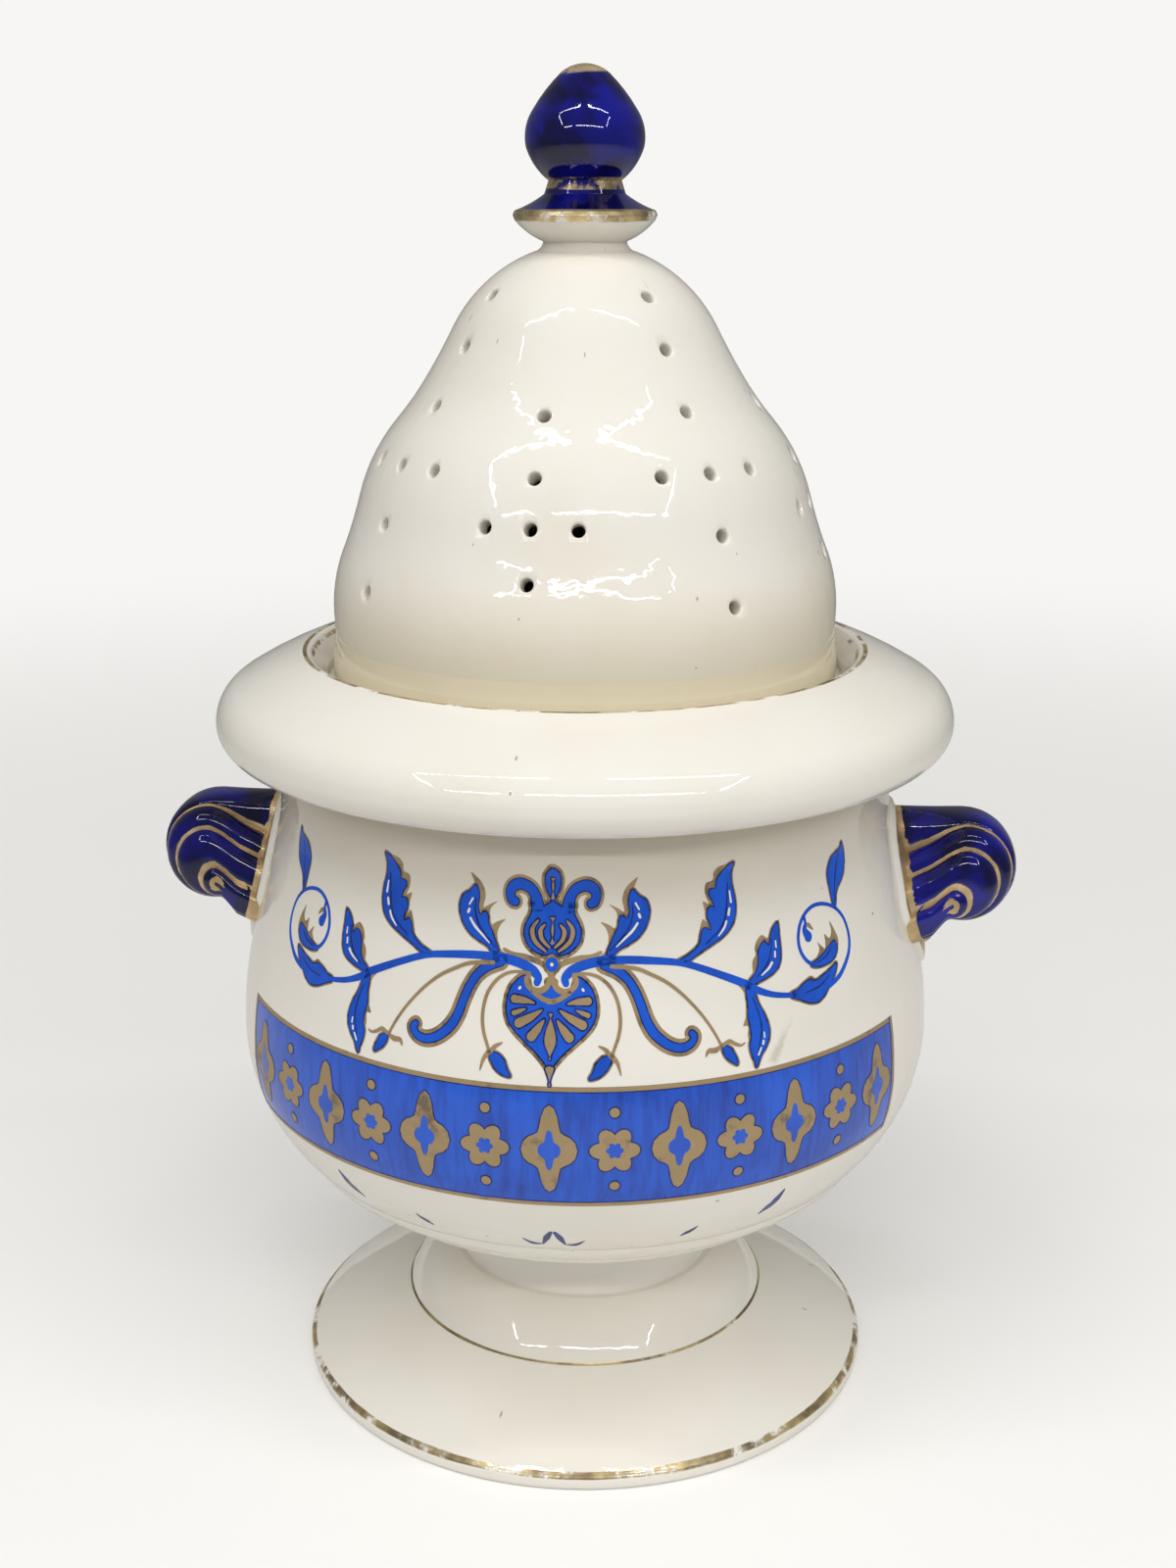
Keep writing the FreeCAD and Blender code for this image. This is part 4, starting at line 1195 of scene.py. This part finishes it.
# Halves of the shapes in the middle, from top to bottom.
FLOWER = [(562, 919.5), (567, 921.5), (573, 925.5), (576, 927), (580, 921), (586, 922), (585, 929), (587, 936),
          (591, 944), (592.5, 952), (590.5, 961), (585, 968), (577, 973), (569, 974), (562, 970)]
BUD_LOOP = [(562, 886.5), (567.5, 888), (571.5, 893.5), (572, 901), (570, 909), (566.5, 915.5), (563.5, 921),
            (562, 922)]
BUD_EYE = [(562.5, 896), (565, 900), (565.3, 906), (563.8, 912), (562.5, 917)]
HEART = [(559.5, 1002), (566, 1010), (575, 1015), (585, 1011), (590, 998), (599, 1004), (604.5, 1012), (607.5, 1024),
         (607.5, 1035), (604, 1046), (596, 1056), (586, 1065), (575, 1075), (566, 1085), (560, 1094)]
HEART_TIP = [(559.5, 1088), (565, 1090), (562, 1099), (559.5, 1108)]
HEART_SPEAR = [(560, 1034), (564, 1045), (567, 1058), (566.5, 1066), (563, 1074), (560, 1081)]
FLOWER_SLOT = [(561.5, 936), (564, 941), (565, 949), (563.5, 957), (561.5, 963)]
FLOWER_RIBS = [
    ([(572, 944), (576, 950), (574, 959), (566, 967)], [1.5, 4, 3, 1.5]),
    ([(579, 940), (584.5, 949), (581.5, 961), (570, 971)], [1.5, 4, 3.5, 1.5]),
]
HEART_DROPS = [
    ([(579, 1024.5), (588, 1022.5), (600, 1021.5)], [0.8, 5, 6.5]),
    ([(588, 1031), (595, 1034), (600, 1036)], [0.8, 3.5, 4]),
    ([(571, 1031), (583, 1039.5), (594.5, 1046)], [0.8, 6, 7.5]),
    ([(568.5, 1041), (575, 1051), (581, 1059)], [0.8, 6, 7.5]),
]
PALE_MARKS = [
    ([(648.5, 921.5), (652, 927.5)], [2.4, 2]),
    ([(652, 933), (653, 935.5)], [3.4, 3.4]),
    ([(650.5, 942), (645, 950), (637, 958), (629, 966)], [2.6, 3, 2.4, 1]),
    ([(744, 909), (745.5, 920)], [2, 2.8]),
    ([(744, 927), (743, 933)], [3, 3]),
    ([(741, 940), (738.5, 947), (733, 955)], [2.6, 2.6, 1]),
    ([(791, 960), (791.5, 966)], [1.8, 2.2]),
    ([(790.5, 971), (790.5, 976)], [2.4, 2.4]),
    ([(787.5, 982), (784, 988), (777, 995)], [3, 2.6, 1]),
    ([(779.5, 1053), (780, 1058)], [1.6, 2]),
    ([(779, 1062), (778.5, 1065)], [2.6, 2.6]),
    ([(776.5, 1069), (774, 1076)], [2, 2]),
    ([(594.6, 1009.4), (595.4, 1010.6)], [2.8, 2.8]),
]
# Dark veins in the leaves, and gold that runs under the stems.
VEINS = [
    ([(645, 921), (645.5, 934), (641, 948), (632, 960), (622, 970)], [1, 1.8, 1.8, 1]),
    ([(742, 900), (741.5, 919), (739.5, 937), (733, 950), (720, 963)], [1, 1.8, 1.8, 1]),
    ([(787, 958), (786, 972), (782, 985), (772, 997)], [1, 1.7, 1]),
    ([(768, 1018), (774, 1034), (777, 1050), (774, 1072)], [1, 1.7, 1]),
    ([(846, 995), (836, 1006), (822, 1013)], [1, 1.7, 1]),
    ([(855, 870), (852, 888), (851, 908)], [1, 1.5, 1]),
    ([(848, 966), (843, 975), (834, 982)], [1, 1.6, 1]),
]
UNDER_GOLD = [
    ([(564.5, 996), (568, 989), (576, 982.5), (590, 978.5), (603, 976.5), (613, 972)], [3, 5, 5, 3]),
    ([(822, 944), (824.5, 943.5), (829, 948)], [3, 4, 1.5]),
]
BEAD = (561, 984)
BEAD_SIZES = (8.4, 5.8, 1.5)
SPRIGS = [
    ([(566, 1258), (571, 1263), (577, 1270)], [3.5, 6.5, 1.5]),
    ([(578, 1270), (588, 1270), (597, 1266)], [1, 4, 0.8]),
    ([(694, 1261), (700, 1258), (706, 1255), (712, 1251)], [0.8, 4.5, 4, 0.8]),
    ([(773, 1239), (781, 1233), (790, 1226), (801, 1213)], [0.8, 7, 8, 0.8]),
]


def mirrored(outline):
    """The same run of flat points on the other side."""
    return [(-x, y) for x, y in outline]


def whole(half):
    """A closed outline from its right half."""
    return half + mirrored(half)[::-1]


def draw_ornament(paper):
    """The layers of the foliate scroll, each with its shapes laid flat."""
    layers = {"gold_edges": Layer(0.06), "lines": Layer(0.09), "blue": Layer(0.12), "inner_lines": Layer(0.15),
              "gold": Layer(0.18), "pale": Layer(0.2)}

    def flat(points, closed=False):
        return [paper.flat(pixel) for pixel in smooth_run(points, closed, CURVE_STEP)]

    def stroke(points, widths, share=1.0):
        return stroke_outline(flat(points), [width * share * PIXEL for width in widths])

    def both(layer, outline):
        layers[layer].fill(outline)
        layers[layer].fill(mirrored(outline))

    def outlined(layer, outline, width):
        for side in (outline, mirrored(outline)):
            layers[layer].line(side, width * PIXEL)

    for points in LEAVES + BUDS:
        outline = flat(points, True)
        both("blue", outline)
        outlined("lines", outline, LEAF_LINE)
        outlined("gold_edges", outline, LEAF_GOLD)
    for points in GOLD_EDGES:
        both("gold_edges", flat(points, True))
    for points, widths in STEMS:
        both("blue", stroke(points, widths))
    for points, widths, edge in EDGED_STEMS:
        outline = stroke(points, widths)
        both("blue", outline)
        outlined("lines", outline, LEAF_LINE)
        both("gold_edges", stroke(points, [width + 2 * edge for width in widths]))
    for points, widths in GOLD_LINES:
        both("gold", stroke(points, widths))
    for points, widths in PALE_MARKS:
        both("pale", stroke(points, widths, PALE_WIDTH))
    for points in (FLOWER, BUD_LOOP, HEART):
        outline = whole(flat(points))
        layers["blue"].fill(outline)
        layers["lines"].line(outline, MIDDLE_LINE * PIXEL)
        layers["gold_edges"].line(outline, MIDDLE_GOLD * PIXEL)
    for points in (BUD_EYE, HEART_SPEAR, FLOWER_SLOT, HEART_TIP):
        outline = whole(flat(points))
        layers["gold"].fill(outline)
        layers["inner_lines"].line(outline, INNER_LINE * PIXEL)
    for points, widths in FLOWER_RIBS + HEART_DROPS:
        outline = stroke(points, widths)
        both("gold", outline)
        outlined("inner_lines", outline, INNER_LINE)
    for layer, strokes in (("inner_lines", VEINS), ("gold_edges", UNDER_GOLD), ("lines", SPRIGS)):
        for points, widths in strokes:
            both(layer, stroke(points, widths))
    middle = paper.flat(BEAD)[1]
    turns = [math.tau * n / BEAD_SIDES for n in range(BEAD_SIDES)]
    for layer, size in zip(("gold_edges", "blue", "pale"), BEAD_SIZES):
        reach = size * PIXEL
        layers[layer].fill([(reach * math.cos(turn), middle + reach * math.sin(turn)) for turn in turns])
    return layers


def band_tree():
    """Sets two motifs in turn along the band, and bends them round the bowl."""
    name = "Band Motifs"
    if name in bpy.data.node_groups:
        return bpy.data.node_groups[name]
    tree, given, out = new_tree(name, "GeometryNodeTree", {
        "Geometry": ("Geometry", None),
        "First Motif": ("Object", None),
        "Second Motif": ("Object", None),
        "Count": ("Int", 13),
        "Spread": ("Float", 0.13),
        "Middle Height": ("Float", 0.13),
        "Bowl": ("Object", None),
        "Flat Radius": ("Float", FLAT_RADIUS),
        "Material": ("Material", None),
    }, {"Geometry": ("Geometry", None)})
    left = vector(tree, calc(tree, "MULTIPLY", given["Spread"], -1.0), given["Middle Height"])
    right = vector(tree, given["Spread"], given["Middle Height"])
    row = add(tree, "GeometryNodeMeshLine", {"Count": given["Count"], "Start Location": left, "Offset": right},
              mode="END_POINTS").outputs[0]
    turn = calc(tree, "MODULO", add(tree, "GeometryNodeInputIndex").outputs[0], 2.0)
    sets = []
    for motif, chosen in (("First Motif", calc(tree, "LESS_THAN", turn, 0.5)), ("Second Motif", turn)):
        shape = shape_of(tree, given[motif])
        placed = add(tree, "GeometryNodeInstanceOnPoints", {"Points": row, "Selection": chosen, "Instance": shape})
        sets.append(placed.outputs[0])
    joined = add(tree, "GeometryNodeJoinGeometry")
    for item in sets:
        tree.links.new(item, joined.inputs[0])
    real = add(tree, "GeometryNodeRealizeInstances", {0: joined.outputs[0]}).outputs[0]
    wrapped = wrap_nodes(tree, real, given["Bowl"], given["Flat Radius"])
    end_tree(tree, out, wrapped, given["Material"])
    return tree


def lozenge(wide, high, hollow):
    """A four-pointed shape with sides that bend in."""
    spots = []
    for quarter in range(4):
        for step in range(MOTIF_STEPS):
            angle = math.pi / 2 * (quarter + step / MOTIF_STEPS)
            reach = 1 - hollow * math.sin(2 * angle) ** 2
            spots.append((wide * reach * math.cos(angle), high * reach * math.sin(angle)))
    return spots


def petals(radius, count, dent):
    """A round shape with petals."""
    spots = []
    for number in range(PETAL_STEPS):
        angle = math.tau * number / PETAL_STEPS
        reach = radius * (1 - dent + dent * abs(math.cos(count * angle / 2)))
        spots.append((reach * math.cos(angle), reach * math.sin(angle)))
    return spots


# Band motifs: shapes in millimetres about the motif's middle, by layer.
MOTIFS = {
    "first": {"gold": [lozenge(8.5, 14.5, 0.42)], "blue": [lozenge(3.4, 6.6, 0.42)]},
    "second": {"gold": [petals(7.6, 6, 0.3), [(x, y + 12) for x, y in petals(1.7, 1, 0)],
                        [(x, y - 12) for x, y in petals(1.7, 1, 0)]],
               "blue": [petals(2.6, 6, 0.3)]},
}


# ---------------------------------------------------------------- settings


class JarSizes(bpy.types.PropertyGroup):
    """Fineness of the meshes and sizes that a user may change."""

    sides: IntProperty(name="Sides", description="Sides of each turned piece", default=176, min=32)
    cover_sides: IntProperty(name="Cover sides", description="Sides of the pierced cover", default=240, min=32)
    corner_steps: IntProperty(name="Corner steps", description="Steps round each rounded corner",
                              default=4, min=1)
    band_border: FloatProperty(name="Band border", description="Width of the band's gold border",
                               default=0.0014, unit="LENGTH")


class JarColours(bpy.types.PropertyGroup):
    """Colours of the glazes, the print and the gold."""

    glaze: FloatVectorProperty(name="Glaze", description="Ivory glaze",
                               default=(0.80, 0.77, 0.70), subtype="COLOR")
    warm_glaze: FloatVectorProperty(name="Warm glaze", description="Glaze where it is thicker",
                                    default=(0.73, 0.67, 0.56), subtype="COLOR")
    stain: FloatVectorProperty(name="Stain", description="Staining of the seat",
                               default=(0.68, 0.60, 0.42), subtype="COLOR")
    # This colour paints both the shade under the rim on the bowl's neck and the one rubbed smudge.
    shade_and_smudge: FloatVectorProperty(name="Soil", description="Old handling marks",
                              default=(0.47, 0.41, 0.31), subtype="COLOR")
    cobalt: FloatVectorProperty(name="Cobalt", description="Deep blue glaze",
                                default=(0.006, 0.007, 0.26), subtype="COLOR")
    dark_cobalt: FloatVectorProperty(name="Dark cobalt", description="Blue glaze where it pools",
                                     default=(0.0015, 0.0015, 0.03), subtype="COLOR")
    print_blue: FloatVectorProperty(name="Printed blue", description="Blue of the band and leaves",
                                    default=(0.012, 0.10, 0.62), subtype="COLOR")
    deep_blue: FloatVectorProperty(name="Deep printed blue", description="Printed blue in its streaks and pools",
                                   default=(0.008, 0.045, 0.33), subtype="COLOR")
    line: FloatVectorProperty(name="Line", description="Dark drawn line of the print",
                              default=(0.010, 0.012, 0.06), subtype="COLOR")
    gold: FloatVectorProperty(name="Gold", description="Bright gilding",
                              default=(0.90, 0.69, 0.38), subtype="COLOR")
    old_gold: FloatVectorProperty(name="Old gold", description="Browned gilding",
                                  default=(0.42, 0.30, 0.16), subtype="COLOR")
    line_gold: FloatVectorProperty(name="Line gold", description="Gilding of the painted lines",
                                   default=(0.84, 0.67, 0.34), subtype="COLOR")
    worn_line: FloatVectorProperty(name="Worn line", description="Dark places of the painted lines",
                                   default=(0.17, 0.125, 0.075), subtype="COLOR")
    print_gold: FloatVectorProperty(name="Printed gold", description="Gilding of the print",
                                    default=(0.36, 0.26, 0.13), subtype="COLOR")
    bare_gold: FloatVectorProperty(name="Rubbed gold", description="Ground under rubbed gilding",
                                   default=(0.15, 0.11, 0.07), subtype="COLOR")


class StageSettings(bpy.types.PropertyGroup):
    """The floor and the lamps."""

    floor: FloatVectorProperty(name="Floor", description="Colour of the floor",
                               default=(0.80, 0.79, 0.77), subtype="COLOR")
    key: FloatProperty(name="Key", description="Power of the main lamp in watts", default=20.0, unit="POWER")
    fill: FloatProperty(name="Fill", description="Power of the filling lamp in watts",
                        default=3.4, unit="POWER")
    window: FloatProperty(name="Window", description="Power of a metre of the window's bars in watts",
                          default=4.0, unit="POWER")
    sky: FloatProperty(name="Sky", description="Strength of the even light",
                       default=0.39, min=0, max=1, subtype="FACTOR")
    mirror: FloatProperty(name="Mirror", description="Strength of the room that the glaze mirrors",
                          default=0.2, min=0, max=1, subtype="FACTOR")
    backdrop: FloatProperty(name="Backdrop", description="Brightness of the background",
                            default=0.93, min=0, max=1, subtype="FACTOR")


# ---------------------------------------------------------------- operators


class JAR_OT_foot(bpy.types.Operator):
    """Make the foot, its stem and the moulding under the bowl"""

    bl_idname = "jar.foot"
    bl_label = "Foot"

    def execute(self, context):
        plate = cream_glaze("foot glaze", [(98.9, 4.7, 1.35, 0.45), (63.3, 23, 0.5, 0.4)], 0.1, waves=0.7)
        plain = cream_glaze("stem glaze", (), 0.4)
        turn_nodes("jar", ("foot_plate", FOOT_PLATE, plate, "glaze"), ("foot_stem", FOOT_STEM, plain, "glaze"),
                   ("base_moulding", BASE_MOULDING, plain, "glaze"))
        return {"FINISHED"}


class JAR_OT_bowl(bpy.types.Operator):
    """Make the bowl, its rim and the ledge for the cover"""

    bl_idname = "jar.bowl"
    bl_label = "Bowl"

    def execute(self, context):
        # The bowl's neck gets painted shade under the rim: a brown band, darkest at the rim's underside, fading
        # downwards.
        glaze = cream_glaze("bowl glaze", (), 0.0, shade_and_smudge=(0.236, 0.19, 0.8), smudge=SMUDGE, waves=0.6)
        lines = [(92.8, 257.9, 0.75, 0.46), (90.2, 256, 0.8, 0.53)]
        rim = cream_glaze("rim glaze", lines, 0.2, specks=0.9, waves=0.3)
        ledge = cream_glaze("ledge glaze", (), 0.5, stain=(0.236, 0.258, 0.7))
        turn_nodes("jar", ("bowl", BOWL, glaze, "glaze"), ("rim_roll", RIM_ROLL, rim, "glaze"),
                   ("gallery_ring", GALLERY_RING, ledge, "glaze"))
        return {"FINISHED"}


class JAR_OT_handles(bpy.types.Operator):
    """Make both scroll handles and the leaves that carry them"""

    bl_idname = "jar.handles"
    bl_label = "Handles"

    def execute(self, context):
        blue = cobalt_glaze("handle glaze", gold_attribute=True)
        leafy = leaf_glaze("handle leaf glaze")
        for label, side in (("right", 1), ("left", -1)):
            scroll = scroll_mesh(f"handle_scroll_{label}_glazed", side)
            scroll.data.materials.append(blue)
            settle(scroll, "jar", "cobalt", f"handle_scroll_{label}")
            leaf = leaf_mesh(f"handle_leaf_{label}_glazed", side)
            leaf.data.materials.append(leafy)
            settle(leaf, "jar", "glaze", f"handle_leaf_{label}")
        return {"FINISHED"}


class JAR_OT_cover(bpy.types.Operator):
    """Make the pierced cover and its flange"""

    bl_idname = "jar.cover"
    bl_label = "Cover"

    def execute(self, context):
        sizes = context.scene.jar_sizes
        glaze = cream_glaze("cover glaze", (), 0.9, stain=(0.264, 0.305, 0.62), warmth=0.62, specks=0.9)
        seat = cream_glaze("flange glaze", (), 0.6, stain=(0.272, 0.30, 0.85), specks=0.9)
        dome = turn_piece("cover_dome_glazed", COVER_DOME, glaze, sizes.cover_sides)
        holes = hole_points()
        cut = turn_piece("air_hole_cut", HOLE_CUT, glaze, HOLE_SIDES)
        grow(dome, pierce_tree(), {"Holes": holes, "Cut": cut, "Material": glaze})
        for helper in (holes, cut):
            bpy.data.objects.remove(helper)
        face_out(dome)
        settle(dome, "cover", "glaze", "cover_dome")
        turn_nodes("cover", ("cover_flange", COVER_FLANGE, seat, "glaze"))
        return {"FINISHED"}


class JAR_OT_finial(bpy.types.Operator):
    """Make the collar and the acorn knob"""

    bl_idname = "jar.finial"
    bl_label = "Finial"

    def execute(self, context):
        collar = collar_glaze("collar glaze", [(22.3, 395.3, 2.1, 0.46), (12, 404.4, 1.6, 0.42)], 0.3965)
        knob = cobalt_glaze("knob glaze", [(0, 441, 8.8, 0.36), (11.8, 405.6, 1.1, 0.42)])
        turn_nodes("cover", ("finial_collar", FINIAL_COLLAR, collar, "glaze", FINIAL_SIDES),
                   ("finial_knob", FINIAL_KNOB, knob, "cobalt", FINIAL_SIDES))
        return {"FINISHED"}


def print_layer(bowl, name, layer, material, slot):
    """Bends one printed layer round the bowl."""
    piece = layer.build(name)
    grow(piece, wrap_tree(), {"Bowl": bowl, "Flat Radius": FLAT_RADIUS, "Material": material})
    settle(face_out(piece, False), "jar", slot)


class JAR_OT_ornament(bpy.types.Operator):
    """Print the foliate scroll on the bowl"""

    bl_idname = "jar.ornament"
    bl_label = "Ornament"

    def execute(self, context):
        bowl = bpy.data.objects["bowl_glazed"]
        finishes = {
            "gold_edges": (printed_gold("printed gold edges", 0.36), "gilding"),
            "blue": (printed_blue("printed leaf blue", 0.2), "print_blue"),
            "lines": (hairline("printed line"), "print_blue"),
            "inner_lines": (hairline("printed line"), "print_blue"),
            "gold": (printed_gold("printed gold", 0.33), "gilding"),
            "pale": (cream_glaze("print gaps", (), 0.0, specks=0.0), "glaze"),
        }
        for name, layer in draw_ornament(Paper(bowl)).items():
            print_layer(bowl, "ornament_" + name, layer, *finishes[name])
        return {"FINISHED"}


def strip(left, right, low, high):
    """A straight strip on the paper, in metres."""
    return [(left, low), (right, low), (right, high), (left, high)]


class JAR_OT_band(bpy.types.Operator):
    """Print the blue band with its gold borders and its row of motifs"""

    bl_idname = "jar.band"
    bl_label = "Band"

    def execute(self, context):
        bowl = bpy.data.objects["bowl_glazed"]
        border = context.scene.jar_sizes.band_border
        side = BAND_HALF * FLAT_RADIUS
        low, high = BAND_LOW * MM, BAND_HIGH * MM
        ground, lines, gold = Layer(0.07), Layer(0.13), Layer(0.1)
        ground.fill(strip(-side, side, low, high))
        hair = BAND_LINE * MM
        for edge, way in ((low, 1), (high, -1)):
            gold.fill(strip(-side, side, *sorted((edge, edge + way * border))))
            lines.fill(strip(-side, side, *sorted((edge + way * border, edge + way * (border + hair)))))
        for edge, way in ((-side, 1), (side, -1)):
            gold.fill(strip(*sorted((edge - way * border, edge)), low, high))
            lines.fill(strip(*sorted((edge, edge + way * hair * 2)), low, high))
        finishes = (
            ("band_ground", ground, printed_blue("printed band blue", 0.55), "print_blue"),
            ("band_lines", lines, hairline("printed line"), "print_blue"),
            ("band_borders", gold, printed_gold("band gold", 0.3), "gilding"),
        )
        for look in finishes:
            print_layer(bowl, *look)
        self.set_motifs(bowl)
        return {"FINISHED"}

    def set_motifs(self, bowl):
        """The row of motifs, one piece for each colour."""
        looks = (
            ("gold", 0.14, printed_gold("band gold", 0.3), "gilding"),
            ("lines", 0.17, hairline("printed line"), "print_blue"),
            ("blue", 0.19, printed_blue("printed leaf blue", 0.2), "print_blue"),
        )
        for part, lift, material, slot in looks:
            motifs = {}
            for which, shapes in MOTIFS.items():
                layer = Layer(lift)
                source = shapes["gold"] if part == "lines" else shapes[part]
                for shape in source:
                    outline = [(x * MM, y * MM) for x, y in shape]
                    if part == "lines":
                        layer.line(outline, MOTIF_LINE * MM)
                    else:
                        layer.fill(outline)
                motifs[which] = layer.build(f"motif_{which}_{part}")
            row = new_object(f"band_motifs_{part}", bpy.data.meshes.new(f"band_motifs_{part}"))
            grow(row, band_tree(), {
                "First Motif": motifs["first"], "Second Motif": motifs["second"], "Count": MOTIF_COUNT,
                "Spread": MOTIF_HALF * FLAT_RADIUS, "Middle Height": (BAND_LOW + BAND_HIGH) / 2 * MM,
                "Bowl": bowl, "Flat Radius": FLAT_RADIUS, "Material": material})
            for motif in motifs.values():
                bpy.data.objects.remove(motif)
            settle(face_out(row, False), "jar", slot)


def area_lamp(name, wide, high, power):
    """A rectangular lamp at the origin."""
    lamp = bpy.data.lights.new(name, "AREA")
    lamp.shape = "RECTANGLE"
    lamp.size, lamp.size_y, lamp.energy = wide, high, power
    return new_object(name, lamp)


def facing(place):
    """The placing of a lamp that faces the middle of the jar."""
    aim = (LAMP_AIM - Vector(place)).to_track_quat("-Z", "Y")
    return Matrix.Translation(place) @ aim.to_matrix().to_4x4()


def soft_lamp(name, place, size, power):
    """A wide lamp that lights the glaze but isn't mirrored in it."""
    lamp = area_lamp(name, size, size, power)
    lamp.matrix_world = facing(place)
    lamp.visible_glossy = False


def window_lamps(power):
    """Narrow bars round a window, which the glaze mirrors as thin, broken lines."""
    window = facing(WINDOW_PLACE)
    for name, (right, up), length, upright in WINDOW_BARS:
        sides = (WINDOW_BAR, length) if upright else (length, WINDOW_BAR)
        bar = area_lamp("window_" + name, *sides, power * length)
        bar.matrix_world = window @ Matrix.Translation((right, up, 0))


class JAR_OT_stage(bpy.types.Operator):
    """Set the floor, the lamps and the photograph's camera"""

    bl_idname = "jar.stage"
    bl_label = "Stage"

    def floor_paint(self, tree, settings):
        """A pale floor that keeps the shadow and fades into the backdrop."""
        place = here(tree)
        far = between(tree, point_sum(tree, "LENGTH", place), FADE_FROM, FADE_TO)
        lit = calc(tree, "MULTIPLY_ADD", far, settings.backdrop - FLOOR_GLOW, FLOOR_GLOW)
        seen = add(tree, "ShaderNodeLightPath").outputs
        mirrored_far = calc(tree, "MULTIPLY", seen["Is Glossy Ray"], calc(tree, "MULTIPLY", far, settings.mirror))
        return {
            "Base Color": blend(tree, far, (*settings.floor, 1), (0, 0, 0, 1)),
            "Roughness": 0.85,
            "Specular IOR Level": 0.0,
            "Emission Color": ROOM_COLOUR,
            "Emission Strength": calc(tree, "MULTIPLY_ADD", lit, seen["Is Camera Ray"], mirrored_far),
        }

    def execute(self, context):
        settings = context.scene.jar_stage
        bm = bmesh.new()
        bmesh.ops.create_grid(bm, x_segments=1, y_segments=1, size=FLOOR_HALF)
        mesh = bpy.data.meshes.new("floor")
        bm.to_mesh(mesh)
        bm.free()
        floor = new_object("floor", mesh)
        floor.data.materials.append(finish("floor", lambda tree: self.floor_paint(tree, settings)))
        world = bpy.data.worlds.new("studio")
        world.use_nodes = True
        tree = world.node_tree
        seen = add(tree, "ShaderNodeLightPath").outputs
        shown = calc(tree, "MULTIPLY_ADD", seen["Is Camera Ray"], settings.backdrop - settings.sky, settings.sky)
        shown = calc(tree, "MULTIPLY_ADD", seen["Is Glossy Ray"], settings.mirror - settings.sky, shown)
        sky = tree.nodes["Background"]
        sky.inputs["Color"].default_value = ROOM_COLOUR
        tree.links.new(shown, sky.inputs["Strength"])
        context.scene.world = world
        soft_lamp("key", KEY_PLACE, KEY_SIZE, settings.key)
        soft_lamp("fill", FILL_PLACE, FILL_SIZE, settings.fill)
        window_lamps(settings.window)
        place, turn = camera_place()
        camera = new_object("camera", bpy.data.cameras.new("camera"))
        camera.location = place
        camera.rotation_euler = turn.to_euler()
        camera.data.sensor_width = SENSOR
        camera.data.lens = FOCAL_PIXELS / PHOTO_HIGH * SENSOR
        camera.data.shift_x = (PHOTO_WIDE / 2 - AXIS_PIXEL) / PHOTO_HIGH
        camera.data.clip_start = 0.01
        context.scene.camera = camera
        context.scene.view_settings.view_transform = "Standard"
        return {"FINISHED"}


class JAR_PT_sidebar(bpy.types.Panel):
    """The steps that make the jar"""

    bl_label = "Leech Jar"
    bl_idname = "JAR_PT_sidebar"
    bl_space_type = "VIEW_3D"
    bl_region_type = "UI"
    bl_category = "Jar"

    def draw(self, context):
        for step in STEPS:
            self.layout.operator(step.bl_idname)
        for group in (context.scene.jar_sizes, context.scene.jar_colours, context.scene.jar_stage):
            for name in group.__annotations__:
                self.layout.prop(group, name)


STEPS = (
    JAR_OT_foot, JAR_OT_bowl, JAR_OT_handles, JAR_OT_cover, JAR_OT_finial, JAR_OT_ornament, JAR_OT_band, JAR_OT_stage,
)
CLASSES = (JarSizes, JarColours, StageSettings, *STEPS, JAR_PT_sidebar)


def register():
    for item in CLASSES:
        bpy.utils.register_class(item)
    bpy.types.Scene.jar_sizes = PointerProperty(type=JarSizes)
    bpy.types.Scene.jar_colours = PointerProperty(type=JarColours)
    bpy.types.Scene.jar_stage = PointerProperty(type=StageSettings)


def unregister():
    del bpy.types.Scene.jar_stage
    del bpy.types.Scene.jar_colours
    del bpy.types.Scene.jar_sizes
    for item in reversed(CLASSES):
        bpy.utils.unregister_class(item)


def main():
    register()
    bpy.ops.jar.foot()
    bpy.ops.jar.bowl()
    bpy.ops.jar.handles()
    bpy.ops.jar.cover()
    bpy.ops.jar.finial()
    bpy.ops.jar.ornament()
    bpy.ops.jar.band()
    bpy.ops.jar.stage()


if __name__ == "__main__":
    main()
